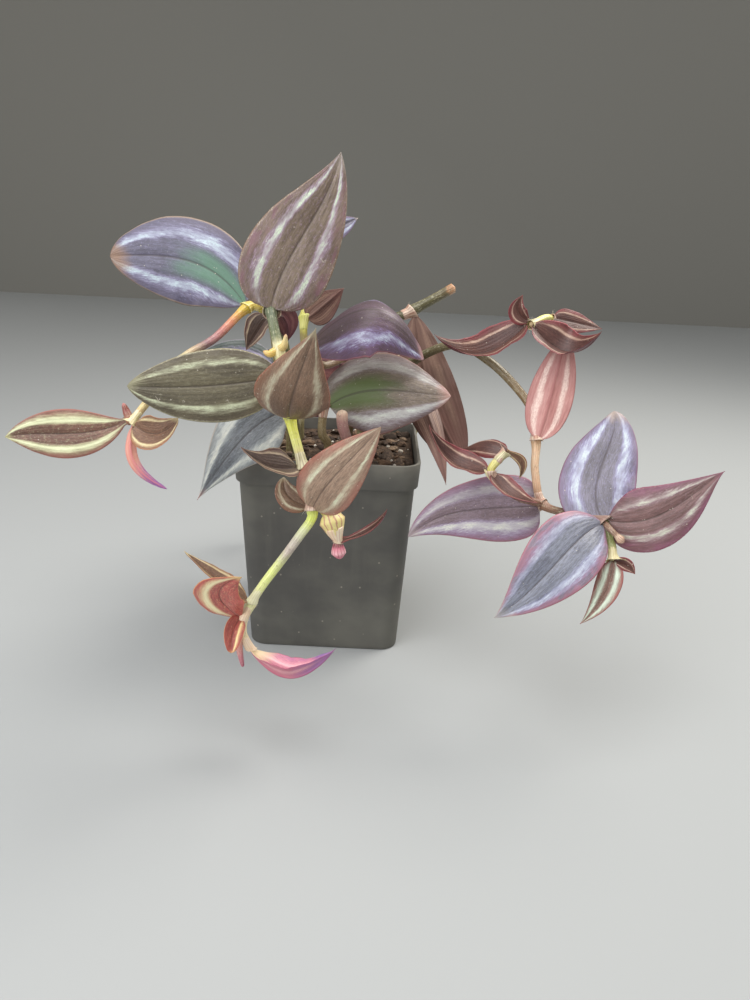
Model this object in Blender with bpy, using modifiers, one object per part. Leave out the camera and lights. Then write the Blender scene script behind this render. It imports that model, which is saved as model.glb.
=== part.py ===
"""A young tradescantia with dark, silver-striped leaves, growing in a small square nursery pot.

Metres, +Z up. The origin is the middle of the pot's base, and -Y is the plant's front.
The plant is irregular, so its joints and leaf tips are placed by eye: seen(column, row, y) is the
point that shows at that pixel of a 750 by 1000 view from the front, at y millimetres from the middle
of the pot, and spot(x, y, z) is a point in millimetres where no view shows it.
"""

import math

import bmesh
import bpy
import numpy as np
from mathutils import Matrix, Vector

MM = 0.001

# The pot, in millimetres
POT_WIDTH = 70.0
POT_HEIGHT = 80.0
BODY_TOP_WIDTH = 66.5
BASE_WIDTH = 60.0
RIM_HEIGHT = 10.0
WALL = 1.2
FLOOR = 1.6
CORNER = 7.0
DRAIN_RADIUS = 3.5
DRAIN_OFFSET = 14.0

# What fills it
SOIL_LEVEL = 78.0
CLEARANCE = 0.3
HOLE_CLEARANCE = 0.35
ROOT_DEPTH = 12.0
SOIL_CELLS = 15
LUMP_HEIGHT = 1.8

# Leaves and stems
LEAF_THICKNESS = 0.7
LEAF_ROWS = 8
LEAF_COLUMNS = 4
LEAF_BASE_HALF = 1.3
LEAF_TIP_HALF = 0.5
LEAF_GAP = 0.45
WAVE_HEIGHT = 0.35
STEM_STEP = 4.5
STEM_SIDES = 2

# The front view that places are read from: an eye in millimetres, and its lens in pixels
EYE = Vector((18.5, -286.0, 158.0))
LOOK_DOWN = math.radians(20.0)
VIEW_ROLL = math.radians(2.8)
LENS = 722.0
VIEW_MIDDLE = (375.0, 500.0)


def seen(column, row, y):
    """The point in millimetres that shows at a pixel of the front view, at depth y."""
    across = column - VIEW_MIDDLE[0]
    down = row - VIEW_MIDDLE[1]
    level_across = (across * math.cos(VIEW_ROLL) + down * math.sin(VIEW_ROLL)) / LENS
    level_down = (down * math.cos(VIEW_ROLL) - across * math.sin(VIEW_ROLL)) / LENS
    ray = Vector((
        level_across,
        math.cos(LOOK_DOWN) - level_down * math.sin(LOOK_DOWN),
        -math.sin(LOOK_DOWN) - level_down * math.cos(LOOK_DOWN),
    ))
    return EYE + ray * ((y - EYE.y) / ray.y)


def spot(x, y, z):
    """A point in millimetres."""
    return Vector((x, y, z))


def rooted(x, y):
    """The first points of a stem: straight up out of its hole in the soil."""
    return [spot(x, y, SOIL_LEVEL - ROOT_DEPTH), spot(x, y, SOIL_LEVEL + 4.0)]


# Each stem: its radius at the root and the tip, and its route. Leaves grow from points of the route.
STEMS = {
    "stem_front": {
        "radius": (1.8, 1.3),
        "route": rooted(-13, -14) + [
            spot(-14, -23, 97),
            spot(-15, -36, 121),
            seen(271, 311, -52),
            seen(279, 350, -60),
            seen(284, 377, -64),
            seen(290, 417, -70),
            seen(303, 467, -75),
            seen(312, 508, -79),
            seen(311, 520, -80),
            seen(301, 534, -81),
            seen(281, 561, -83),
            seen(260, 589, -86),
            seen(252, 602, -87),
            seen(244, 619, -88),
            seen(243, 633, -88),
            seen(250, 649, -88),
        ],
        "joints": [2, 4, 5, 7, 8, 9, 14],
    },
    "stem_left": {
        "radius": (1.7, 1.2),
        "route": rooted(-17, -4) + [
            spot(-20, -13, 108),
            spot(-21, -25, 127),
            seen(262, 309, -36),
            seen(247, 308, -38),
            seen(215, 338, -46),
            seen(180, 361, -54),
            seen(145, 405, -61),
            seen(131, 423, -64),
        ],
        "joints": [2, 5, 7, 9],
    },
    "stem_right": {
        "radius": (1.9, 1.25),
        "route": rooted(13, -4) + [
            spot(16, -3, 92),
            spot(27, -3, 110),
            seen(452, 345, -10),
            seen(490, 362, -18),
            seen(528, 403, -28),
            seen(536, 440, -36),
            seen(535, 472, -41),
            seen(543, 504, -46),
            seen(572, 514, -54),
            seen(603, 523, -61),
            seen(611, 545, -66),
            seen(613, 561, -71),
        ],
        "joints": [3, 7, 9, 11, 12],
    },
    "stem_centre": {
        "radius": (1.7, 1.1),
        "route": rooted(6, -2) + [
            spot(11, -8, 100),
            seen(352, 359, -9),
            seen(323, 365, -21),
            seen(306, 346, -27),
            seen(304, 318, -24),
            seen(310, 288, -14),
            seen(326, 234, -2),
        ],
        "joints": [5, 6, 8],
    },
    "stem_low": {
        "radius": (1.8, 1.5),
        "route": rooted(0, -22) + [seen(322, 432, -24), seen(324, 405, -23)],
        "joints": [3],
    },
    "stem_stub": {
        "radius": (1.8, 2.1),
        "route": rooted(8, -26) + [seen(343, 426, -31), seen(342, 410, -32)],
        "joints": [],
    },
    "stem_cut": {
        "radius": (1.9, 1.9),
        "route": rooted(14, 11) + [
            spot(17, 11, 92),
            spot(23, 8, 110),
            seen(390, 325, 5),
            seen(412, 311, 8),
            seen(455, 287, 10),
        ],
        "joints": [5],
    },
    "stem_back_left": {
        "radius": (1.8, 1.2),
        "route": rooted(-15, 14) + [
            spot(-14, 27, 98),
            spot(-14, 42, 105),
            spot(-18, 55, 93),
            spot(-26, 62, 70),
            spot(-30, 66, 48),
        ],
        "joints": [2, 3, 4, 5],
    },
    "stem_back_right": {
        "radius": (1.8, 1.2),
        "route": rooted(11, 21) + [
            spot(17, 31, 97),
            spot(26, 43, 106),
            spot(34, 56, 97),
            spot(38, 65, 78),
            spot(35, 70, 56),
        ],
        "joints": [2, 3, 4, 5],
    },
}

# Side shoots grow out of a point of a stem's route, and are one piece with it. A shoot's radii match its
# route, the stem's own point first.
SHOOTS = {
    "stem_front": [
        {
            "from": 9,
            "radii": (1.2, 1.4, 2.4, 4.1, 2.6, 1.1, 1.8, 2.5, 1.3),
            "route": [
                seen(320, 508, -78),
                seen(328, 512, -78.5),
                seen(332, 521, -79.5),
                seen(335, 532, -80),
                seen(337, 541, -80),
                seen(338, 546, -80),
                seen(339, 553, -80),
                seen(340, 559, -80),
            ],
        },
        {"from": 5, "radii": (1.5, 1.2, 0.4), "route": [seen(284, 346, -62), seen(286, 334, -63)]},
        {"from": 5, "radii": (1.5, 1.2, 0.5), "route": [seen(270, 354, -62), seen(263, 351, -62)]},
        {
            "from": 16,
            "radii": (1.3, 1.2, 1.0, 0.5),
            "route": [seen(239, 640, -89), seen(240, 653, -89), seen(243, 667, -89)],
        },
    ],
    "stem_left": [
        {"from": 9, "radii": (1.3, 1.3, 0.6), "route": [seen(127, 413, -62), seen(123, 403, -62)]},
    ],
    "stem_right": [
        {
            "from": 7,
            "radii": (1.5, 1.4, 1.3, 1.25, 1.3),
            "route": [seen(553, 395, -24), seen(563, 350, -14), seen(551, 319, -17), seen(530, 325, -26)],
        },
        {
            "from": 9,
            "radii": (1.4, 1.35, 1.3, 1.3, 1.5, 0.9),
            "route": [
                seen(522, 499, -49),
                seen(503, 487, -50),
                seen(491, 472, -50),
                seen(498, 460, -49),
                seen(506, 452, -48),
            ],
        },
        {
            "from": 11,
            "radii": (1.5, 1.0, 0.9, 1.5, 0.8),
            "route": [seen(611, 530, -66), seen(616, 535, -67), seen(621, 540, -68), seen(624, 543, -68.5)],
        },
    ],
}

# Each leaf: the stem that it grows from, at a point of its route (or of a shoot's), its tip, its width,
# and how its blade lies. face turns the blade about its length: 0 shows its upper side to the front,
# 180 its underside. fold lifts both halves from the rib, and curl bends them on towards the margin.
# lift and bow push the rib's two inner control points out of the blade's face and to its right.
# A small round gives a broad base, and a large taper a long tip. out is where the base leaves the stem.
LEAVES = {
    "leaf_front_1": dict(
        stem="stem_front", joint=4, tip=seen(341, 152, -42), width=28, face=-2, fold=10, curl=-20,
        lift=(1, 0), bow=(-4, 4.2), taper=1, round=0.38, out=spot(0.1, -1, 0.4), clear=0.5,
    ),
    "leaf_front_2": dict(
        stem="stem_front", joint=6, tip=seen(127, 386, -74), width=22.6, face=6, fold=6, curl=-22,
        bow=(-1.6, -2), round=0.51, taper=0.75,
    ),
    "leaf_front_3": dict(
        stem="stem_front", joint=7, tip=seen(316, 328, -88), width=23.4, face=3, fold=8, curl=-40,
        lift=(7, 4), bow=(-2.2, -0.5), round=0.5, taper=1.25, out=spot(0, -1, 0), clear=0.2,
    ),
    "leaf_front_4": dict(
        stem="stem_front", joint=8, tip=seen(241, 447, -86), width=12.6, face=52, fold=36, curl=-15,
        round=0.8, taper=1.15, bow=(-3.2, -7), clear=0.2,
    ),
    "leaf_front_5": dict(
        stem="stem_front", joint=9, tip=seen(381, 427, -94), width=17.9, face=0, fold=8, curl=-26,
        lift=(4, 2), bow=(-2.5, -0.2), round=0.36, taper=0.92, out=spot(0.2, -1, 0.3), clear=0.2,
    ),
    "leaf_front_6": dict(
        stem="stem_front", joint=9, tip=seen(284, 477, -75), width=9, face=20, fold=25, curl=-30,
        bow=(-3, -4), round=0.6, taper=0.8, out=spot(-1, 0.8, 0), clear=0.3,
    ),
    "leaf_front_7": dict(
        stem="stem_front", joint=14, tip=seen(184, 551, -90), width=10, face=60, fold=20, curl=0,
        bow=(-2, -2),
    ),
    "leaf_front_8": dict(
        stem="stem_front", joint=15, tip=seen(242, 577, -100), width=16, face=-10, fold=15, curl=-20,
        bow=(-9, -8), round=0.7, out=spot(-1, 0.2, 0.3), clear=0.2,
    ),
    "leaf_front_9": dict(
        stem="stem_front", joint=15, tip=seen(231, 653, -98), width=6.5, face=-8, fold=20, curl=0,
        bow=(1.5, 0.5), round=0.3, taper=0.5, out=spot(-1, -1, 0.8), clear=0.4,
    ),
    "leaf_front_10": dict(
        stem="stem_front", joint="end", tip=seen(336, 648, -93), width=15, face=-75, fold=45, curl=-10,
        lift=(-15, -9), round=0.65, clear=0.5,
    ),
    "leaf_front_11": dict(
        stem="stem_front", joint=4, tip=seen(246, 350, -50), width=10, face=30, fold=35,
        curl=0,
    ),
    "leaf_front_12": dict(
        stem="stem_front", joint=4, tip=seen(287, 342, -48), width=9, face=180, fold=20, curl=0,
        bow=(3, 1), out=spot(1, 0.5, -0.3), clear=0.3,
    ),
    "leaf_front_13": dict(
        stem="stem_front", joint=2, tip=seen(197, 500, -54), width=24.5, face=-15, fold=8, curl=-25,
        lift=(8, 5), bow=(9.8, 4.8), round=0.6, taper=1.4,
    ),
    "leaf_bud": dict(
        stem="stem_front", shoot=0, joint=5, tip=seen(387, 509, -84), width=3.5, face=-40, fold=40, curl=0,
        lift=(-5, -5), round=0.9, clear=0.2,
    ),
    "leaf_left_1": dict(
        stem="stem_left", joint=5, tip=seen(110, 256, -32), width=29, face=4, fold=6, curl=-26,
        bow=(12.5, 6.1), round=0.55, taper=0.64,
    ),
    "leaf_left_2": dict(
        stem="stem_left", joint=9, tip=seen(5, 437, -68), width=15.7, face=0, fold=14, curl=-20,
        bow=(-5.6, 0.6), round=0.95, taper=0.96, clear=0.8,
    ),
    "leaf_left_3": dict(
        stem="stem_left", joint=9, tip=seen(178, 418, -68), width=12, face=-15, fold=22, curl=5,
        bow=(5, 5), round=0.5, taper=0.8,
    ),
    "leaf_left_4": dict(
        stem="stem_left", joint=9, tip=seen(167, 489, -70), width=4.6, face=180, fold=40, curl=0,
        bow=(-8.4, -5.8), round=0.38, taper=0.74,
    ),
    "leaf_left_5": dict(
        stem="stem_left", joint=2, tip=seen(190, 362, -32), width=18, face=10, fold=8, curl=-25,
        bow=(4, 4), clear=0.3,
    ),
    "leaf_centre_1": dict(
        stem="stem_centre", joint=5, tip=seen(424, 359, -24), width=33, face=-45, fold=-12, curl=-42,
        lift=(26, 27), taper=0.7,
    ),
    "leaf_centre_2": dict(
        stem="stem_centre", joint=6, tip=seen(344, 288, -22), width=11, face=180, fold=10, curl=-15,
        out=spot(1, -0.6, 0), clear=0.2,
    ),
    "leaf_centre_3": dict(
        stem="stem_centre", joint="end", tip=seen(358, 218, 4), width=8, face=0, fold=15, curl=-15,
        clear=0.6,
    ),
    "leaf_low": dict(
        stem="stem_low", joint=3, tip=seen(451, 396, -28), width=33.8, face=-12, fold=-4, curl=-34,
        lift=(5, 6), bow=(-7.7, -0.8), round=0.47, taper=0.85,
    ),
    "leaf_cut": dict(
        stem="stem_cut", joint=5, tip=seen(463, 460, -12), width=22, face=180, fold=12, curl=-20,
        bow=(-5, -6), round=0.7, taper=0.6, out=spot(0.5, -0.6, -0.6), clear=0.4,
    ),
    "leaf_right_1": dict(
        stem="stem_right", joint=3, tip=seen(446, 485, -34), width=11, face=165, fold=20, curl=0,
        bow=(4, 3),
    ),
    "leaf_right_2": dict(
        stem="stem_right", joint=7, tip=seen(568, 332, -24), width=16, face=180, fold=14, curl=-18,
        round=0.5, taper=0.85, out=spot(0.3, -1, 0.5), clear=0.4,
    ),
    "leaf_right_3": dict(
        stem="stem_right", joint=9, tip=seen(408, 537, -44), width=24.5, face=5, fold=6, curl=-22,
        bow=(2.4, 9.1), round=0.28, taper=0.84, out=spot(-0.6, 0.8, -0.8), clear=0.2,
    ),
    "leaf_right_4": dict(
        stem="stem_right", joint=11, tip=seen(614, 411, -36), width=25.5, face=0, fold=8, curl=-22,
        bow=(-7.3, 4), round=0.3, taper=0.7, out=spot(-0.4, 0.8, 1), clear=1.3,
    ),
    "leaf_right_5": dict(
        stem="stem_right", joint=11, tip=seen(725, 471, -72), width=21.4, face=0, fold=8, curl=-22,
        bow=(9.4, 2.5), round=0.48, taper=1.27, out=spot(1, -0.2, 0.7), clear=0.8,
    ),
    "leaf_right_6": dict(
        stem="stem_right", joint=11, tip=seen(494, 618, -88), width=22.8, face=0, fold=10, curl=-14,
        taper=1.12, lift=(11, 4), bow=(3.7, -3.4), round=0.7, out=spot(-0.4, -1, 0.2), clear=0.7,
    ),
    "leaf_right_7": dict(
        stem="stem_right", joint="end", tip=seen(580, 624, -85), width=8.4, face=0, fold=16, curl=-15,
        bow=(-3, -3), out=spot(-0.5, -1, -0.5), clear=0.9,
    ),
    "leaf_right_8": dict(
        stem="stem_right", joint="end", tip=seen(635, 574, -75), width=5, face=0, fold=30, curl=0,
        round=0.7, out=spot(1, 0.1, 0.35), clear=2.9,
    ),
    "leaf_upper_1": dict(
        stem="stem_right", shoot=0, joint=4, tip=seen(434, 334, -32), width=16, face=50, fold=28, curl=10,
        lift=(-15, -13), bow=(-1, -1),
    ),
    "leaf_upper_2": dict(
        stem="stem_right", shoot=0, joint=4, tip=seen(523, 295, -26), width=7.5, face=-10, fold=25, curl=0,
        bow=(-4, -3), round=0.6, out=spot(-0.6, 0.3, 1), clear=0.2,
    ),
    "leaf_upper_3": dict(
        stem="stem_right", shoot=0, joint=4, tip=seen(602, 331, -42), width=17, face=-50, fold=28, curl=10,
        lift=(-15, -12), out=spot(0.6, -1, 0),
    ),
    "leaf_upper_4": dict(
        stem="stem_right", shoot=0, joint=3, tip=seen(602, 329, -14), width=9, face=-30, fold=10,
        curl=-10,
    ),
    "leaf_lower_1": dict(
        stem="stem_right", shoot=1, joint=3, tip=seen(429, 425, -42), width=12, face=40, fold=30, curl=10,
        lift=(-10, -9),
    ),
    "leaf_lower_2": dict(
        stem="stem_right", shoot=1, joint=3, tip=seen(538, 503, -64), width=10, face=-50, fold=28, curl=0,
        lift=(-5, -3), out=spot(0.2, -1, -0.4), clear=0.4,
    ),
    "leaf_lower_3": dict(
        stem="stem_right", shoot=1, joint="end", tip=seen(462, 450, -34), width=9, face=40, fold=-10,
        curl=-30, lift=(5, 2), out=spot(-0.3, 1, 0.6), clear=1.2,
    ),
    "leaf_lower_4": dict(
        stem="stem_right", shoot=1, joint="end", tip=seen(519, 479, -46), width=3.6, face=0, fold=20, curl=0,
        bow=(-5, -4), round=0.7, clear=0.7,
    ),
    "leaf_back_1": dict(
        stem="stem_back_left", joint=2, tip=spot(-44, 34, 106), width=20, face=180, fold=10,
        curl=-20,
    ),
    "leaf_back_2": dict(
        stem="stem_back_left", joint=3, tip=spot(10, 76, 96), width=22, face=180, fold=10,
        curl=-20,
    ),
    "leaf_back_3": dict(
        stem="stem_back_left", joint=4, tip=spot(-52, 60, 86), width=20, face=180, fold=10,
        curl=-20,
    ),
    "leaf_back_4": dict(
        stem="stem_back_left", joint=5, tip=spot(-2, 88, 52), width=18, face=180, fold=10, curl=-20,
        round=0.7, out=spot(1, 0.4, 0.2), clear=0.4,
    ),
    "leaf_back_5": dict(
        stem="stem_back_left", joint="end", tip=spot(-42, 74, 14), width=14, face=180, fold=20,
        curl=-10,
    ),
    "leaf_back_6": dict(
        stem="stem_back_right", joint=3, tip=spot(30, 80, 112), width=20, face=180, fold=10,
        curl=-20, out=spot(0, 0.6, 1), clear=0.3,
    ),
    "leaf_back_7": dict(
        stem="stem_back_right", joint=4, tip=spot(12, 88, 82), width=20, face=180, fold=10,
        curl=-20, out=spot(-1, 0.4, 0.3), clear=0.3,
    ),
    "leaf_back_8": dict(
        stem="stem_back_right", joint="end", tip=spot(20, 88, 14), width=17, face=180, fold=20,
        curl=-10,
    ),
}

BARK = {"hue": (0.16, 0.11, 0.075), "roughness": 0.95}
POT_BLACK = {"hue": (0.035, 0.038, 0.038), "roughness": 0.55}
STEM_GREEN = {"hue": (0.42, 0.42, 0.2), "roughness": 0.5}
LEAF_DARK = {"hue": (0.14, 0.075, 0.09), "roughness": 0.4}


def make_material(name, hue, roughness):
    material = bpy.data.materials.new(name)
    material.use_nodes = True
    shader = material.node_tree.nodes["Principled BSDF"]
    shader.inputs["Base Color"].default_value = (*hue, 1.0)
    shader.inputs["Roughness"].default_value = roughness
    shader.inputs["Metallic"].default_value = 0.0
    return material


def add_object(name, mesh, collection, material=None):
    thing = bpy.data.objects.new(name, mesh)
    collection.objects.link(thing)
    if material is not None:
        mesh.materials.append(material)
    return thing


def apply_modifiers(thing):
    """The object's mesh becomes what its modifiers make of it."""
    bpy.context.view_layer.update()
    graph = bpy.context.evaluated_depsgraph_get()
    finished = bpy.data.meshes.new_from_object(thing.evaluated_get(graph))
    thing.modifiers.clear()
    thing.data = finished


def boolean(thing, operation, others):
    """Joins or cuts with every object of a collection, which is then emptied."""
    modifier = thing.modifiers.new(operation.lower(), "BOOLEAN")
    modifier.operation = operation
    modifier.operand_type = "COLLECTION"
    modifier.collection = others
    modifier.solver = "EXACT"
    apply_modifiers(thing)
    for other in list(others.objects):
        bpy.data.objects.remove(other)


def add_helper(name, mesh, helpers):
    """An object that cuts or joins another, and is then removed."""
    helper = add_object(name, mesh, helpers)
    helper.display_type = "WIRE"
    return helper


def tapered_block(low, high, low_width, high_width, corner):
    """A mesh: a square block from height low to high, with its upright edges rounded."""
    shape = bmesh.new()
    bmesh.ops.create_cube(shape, size=1.0)
    for vertex in shape.verts:
        width = high_width if vertex.co.z > 0 else low_width
        height = high if vertex.co.z > 0 else low
        vertex.co = Vector((vertex.co.x * width, vertex.co.y * width, height)) * MM
    tall = (high - low) * MM * 0.5
    upright = [edge for edge in shape.edges if abs(edge.verts[0].co.z - edge.verts[1].co.z) > tall]
    bmesh.ops.bevel(
        shape,
        geom=upright,
        offset=corner * MM,
        offset_type="OFFSET",
        segments=4,
        profile=0.5,
        affect="EDGES",
    )
    mesh = bpy.data.meshes.new("block")
    shape.to_mesh(mesh)
    shape.free()
    return mesh


def drain_hole(helpers, x, y):
    shape = bmesh.new()
    bmesh.ops.create_cone(
        shape,
        cap_ends=True,
        segments=16,
        radius1=DRAIN_RADIUS * MM,
        radius2=DRAIN_RADIUS * MM,
        depth=4 * FLOOR * MM,
        matrix=Matrix.Translation(Vector((x, y, 0.0)) * MM),
    )
    mesh = bpy.data.meshes.new("drain hole")
    shape.to_mesh(mesh)
    shape.free()
    add_helper("drain hole", mesh, helpers)


def width_at(height):
    """The outer width of the pot's body at a height."""
    share = height / (POT_HEIGHT - RIM_HEIGHT)
    return BASE_WIDTH + (BODY_TOP_WIDTH - BASE_WIDTH) * share


def make_pot(parts, helpers, material):
    """A tapered square pot: a body, a rim band that stands out round its top, and four drain holes."""
    shoulder = POT_HEIGHT - RIM_HEIGHT
    body = tapered_block(0.0, shoulder + 0.5, BASE_WIDTH, width_at(shoulder + 0.5), CORNER)
    pot = add_object("pot", body, parts, material)
    rim = tapered_block(shoulder, POT_HEIGHT, POT_WIDTH - 1.0, POT_WIDTH, CORNER + 1.0)
    add_helper("rim band", rim, helpers)
    boolean(pot, "UNION", helpers)
    hollow = tapered_block(
        FLOOR, shoulder + 3.0, width_at(FLOOR) - 2 * WALL, width_at(shoulder + 3.0) - 2 * WALL, CORNER - WALL
    )
    add_helper("body hollow", hollow, helpers)
    mouth = tapered_block(
        shoulder + WALL, POT_HEIGHT + 4.0, POT_WIDTH - 1.0 - 2 * WALL, POT_WIDTH - 2 * WALL + 0.4, CORNER
    )
    add_helper("mouth hollow", mouth, helpers)
    for x in (-DRAIN_OFFSET, DRAIN_OFFSET):
        for y in (-DRAIN_OFFSET, DRAIN_OFFSET):
            drain_hole(helpers, x, y)
    boolean(pot, "DIFFERENCE", helpers)
    return pot


def lumps(x, y):
    """How far the soil's surface rises at a place, in millimetres: three crossed waves, seeded by eye."""
    coarse = math.sin(0.31 * x + 1.1) * math.cos(0.27 * y - 0.6)
    middle = math.sin(0.83 * x - 0.71 * y + 2.0)
    fine = math.cos(1.37 * x + 0.4) * math.sin(1.21 * y + 1.9)
    return LUMP_HEIGHT * (0.45 * coarse + 0.3 * middle + 0.25 * fine)


def make_soil(parts, helpers, material):
    """A block that fills the pot to just below its rim, with a lumpy top and a hole for each stem.

    Below the top it is three rings deep: the rim's width, the narrower body's, and the floor's.
    """
    shape = bmesh.new()
    bmesh.ops.create_grid(shape, x_segments=SOIL_CELLS, y_segments=SOIL_CELLS, size=1.0)
    floor_top = FLOOR + CLEARANCE
    shoulder = POT_HEIGHT - RIM_HEIGHT
    half_rim = 0.5 * (POT_WIDTH - 1.0) - WALL - 2 * CLEARANCE
    half_neck = 0.5 * width_at(shoulder) - WALL - 2 * CLEARANCE
    half_low = 0.5 * width_at(floor_top) - WALL - CLEARANCE
    rings = [(half_rim, shoulder + WALL + 0.8), (half_neck, shoulder + 1.0), (half_low, floor_top)]

    def rounded(vertex, half):
        """The grid's square, with its corners drawn in to the pot's rounded ones."""
        x, y = vertex.co.x, vertex.co.y
        draw_in = 1.0 - 0.09 * (x * y) ** 4
        return x * half * draw_in, y * half * draw_in

    top = list(shape.verts)
    sheet = list(shape.faces)
    layers = []
    for _ in rings:
        grown = bmesh.ops.extrude_face_region(shape, geom=sheet)["geom"]
        if layers:
            bmesh.ops.delete(shape, geom=[face for face in sheet if face.is_valid], context="FACES_ONLY")
        layers.append([piece for piece in grown if isinstance(piece, bmesh.types.BMVert)])
        sheet = [piece for piece in grown if isinstance(piece, bmesh.types.BMFace)]
    for layer, (half, height) in zip(layers, rings):
        for vertex in layer:
            x, y = rounded(vertex, half)
            vertex.co = Vector((x, y, height)) * MM
    for vertex in top:
        edge = max(abs(vertex.co.x), abs(vertex.co.y))
        x, y = rounded(vertex, half_rim)
        height = SOIL_LEVEL - 3.0 + lumps(x, y) * (1.0 - edge ** 6)
        vertex.co = Vector((x, y, height)) * MM
    on_floor = set(layers[-1])
    underside = [face for face in shape.faces if on_floor.issuperset(face.verts)]
    bmesh.ops.dissolve_faces(shape, faces=underside)
    bmesh.ops.recalc_face_normals(shape, faces=shape.faces)
    mesh = bpy.data.meshes.new("soil")
    shape.to_mesh(mesh)
    shape.free()
    soil = add_object("soil", mesh, parts, material)
    for plan in STEMS.values():
        root = plan["route"][0]
        depth = ROOT_DEPTH + 10.0
        hole = bmesh.new()
        bmesh.ops.create_cone(
            hole,
            cap_ends=True,
            segments=12,
            radius1=(plan["radius"][0] + HOLE_CLEARANCE) * MM,
            radius2=(plan["radius"][0] + HOLE_CLEARANCE) * MM,
            depth=depth * MM,
            matrix=Matrix.Translation(Vector((root.x, root.y, root.z - CLEARANCE + depth / 2)) * MM),
        )
        hole_mesh = bpy.data.meshes.new("stem hole")
        hole.to_mesh(hole_mesh)
        hole.free()
        add_helper("stem hole", hole_mesh, helpers)
    boolean(soil, "DIFFERENCE", helpers)
    return soil


def smooth_route(route):
    """Points about STEM_STEP apart on a curve through the route, and where the route's own points fall."""
    points = [route[0]]
    marks = [0]
    padded = [route[0] * 2 - route[1]] + list(route) + [route[-1] * 2 - route[-2]]
    for before, start, end, after in zip(padded, padded[1:], padded[2:], padded[3:]):
        count = max(1, round((end - start).length / STEM_STEP))
        leave = (end - before) * 0.5
        arrive = end - start if len(marks) == 1 else (after - start) * 0.5
        for step in range(1, count + 1):
            t = step / count
            points.append(
                start * (2 * t ** 3 - 3 * t ** 2 + 1)
                + leave * (t ** 3 - 2 * t ** 2 + t)
                + end * (3 * t ** 2 - 2 * t ** 3)
                + arrive * (t ** 3 - t ** 2)
            )
        marks.append(len(points) - 1)
    return points, marks


def tube(name, points, radii, collection, material):
    """A tube of changing radius along the points, made a closed mesh."""
    curve = bpy.data.curves.new(name, "CURVE")
    curve.dimensions = "3D"
    curve.bevel_depth = MM
    curve.bevel_resolution = STEM_SIDES
    curve.use_fill_caps = True
    spline = curve.splines.new("POLY")
    spline.points.add(len(points) - 1)
    for place, point, radius in zip(spline.points, points, radii):
        place.co = (*(point * MM), 1.0)
        place.radius = radius
    guide = bpy.data.objects.new(name + " line", curve)
    collection.objects.link(guide)
    bpy.context.view_layer.update()
    mesh = bpy.data.meshes.new_from_object(guide.evaluated_get(bpy.context.evaluated_depsgraph_get()))
    bpy.data.objects.remove(guide)
    shape = bmesh.new()
    shape.from_mesh(mesh)
    bmesh.ops.remove_doubles(shape, verts=shape.verts, dist=1e-5)
    bmesh.ops.recalc_face_normals(shape, faces=shape.faces)
    shape.to_mesh(mesh)
    shape.free()
    mesh.shade_smooth()
    return add_object(name, mesh, collection, material)


def swollen(marks, joints, count, radius):
    """Radii along a stem: an even taper, thicker at each joint and for a sheath's length past it."""
    thick = [marks[joint] for joint in joints]
    radii = []
    for index in range(count):
        base = radius[0] + (radius[1] - radius[0]) * index / max(1, count - 1)
        if index in thick:
            base *= 1.28
        elif index - 1 in thick:
            base *= 1.14
        radii.append(base)
    return radii


def stem_plan(name):
    """The smooth points, marks and radii of a stem."""
    plan = STEMS[name]
    points, marks = smooth_route(plan["route"])
    return points, marks, swollen(marks, plan["joints"], len(points), plan["radius"])


def shoot_plan(name, number):
    """The smooth points, marks and radii of a stem's side shoot, which starts on the stem's own line."""
    shoot = SHOOTS[name][number]
    route = [STEMS[name]["route"][shoot["from"]]] + shoot["route"]
    points, marks = smooth_route(route)
    radii = np.interp(range(len(points)), marks, shoot["radii"])
    return points, marks, [float(radius) for radius in radii]


def make_stem(name, parts, helpers, material):
    """A stem with its side shoots joined on."""
    points, marks, radii = stem_plan(name)
    stem = tube(name, points, radii, parts, material)
    if name in SHOOTS:
        for number in range(len(SHOOTS[name])):
            shoot_points, _, shoot_radii = shoot_plan(name, number)
            tube(name + " shoot", shoot_points, shoot_radii, helpers, None)
        boolean(stem, "UNION", helpers)
    return stem


def growing_point(leaf):
    """The place on a stem's or shoot's line that a leaf grows from, the stem's direction and its radius."""
    if "shoot" in leaf:
        points, marks, radii = shoot_plan(leaf["stem"], leaf["shoot"])
    else:
        points, marks, radii = stem_plan(leaf["stem"])
    index = len(points) - 1 if leaf["joint"] == "end" else marks[leaf["joint"]]
    along = (points[min(index + 1, len(points) - 1)] - points[max(index - 1, 0)]).normalized()
    return points[index], along, radii[index], leaf["joint"] == "end"


def leaf_frame(leaf):
    """The leaf's base, chord, and the directions of its face and its right-hand side."""
    place, along, radius, at_end = growing_point(leaf)
    outward = leaf["tip"] - place
    if not at_end:
        outward = outward - along * outward.dot(along)
    outward = leaf.get("out", outward).normalized()
    reach = 0.0 if at_end else radius
    base = place + outward * (reach + LEAF_GAP + leaf.get("clear", 0.0))
    chord = leaf["tip"] - base
    ahead = chord.normalized()
    to_eye = EYE - (base + leaf["tip"]) * 0.5
    face = (to_eye - ahead * to_eye.dot(ahead)).normalized()
    face = Matrix.Rotation(math.radians(leaf["face"]), 3, ahead) @ face
    return base, chord, face, ahead.cross(face)


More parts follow.
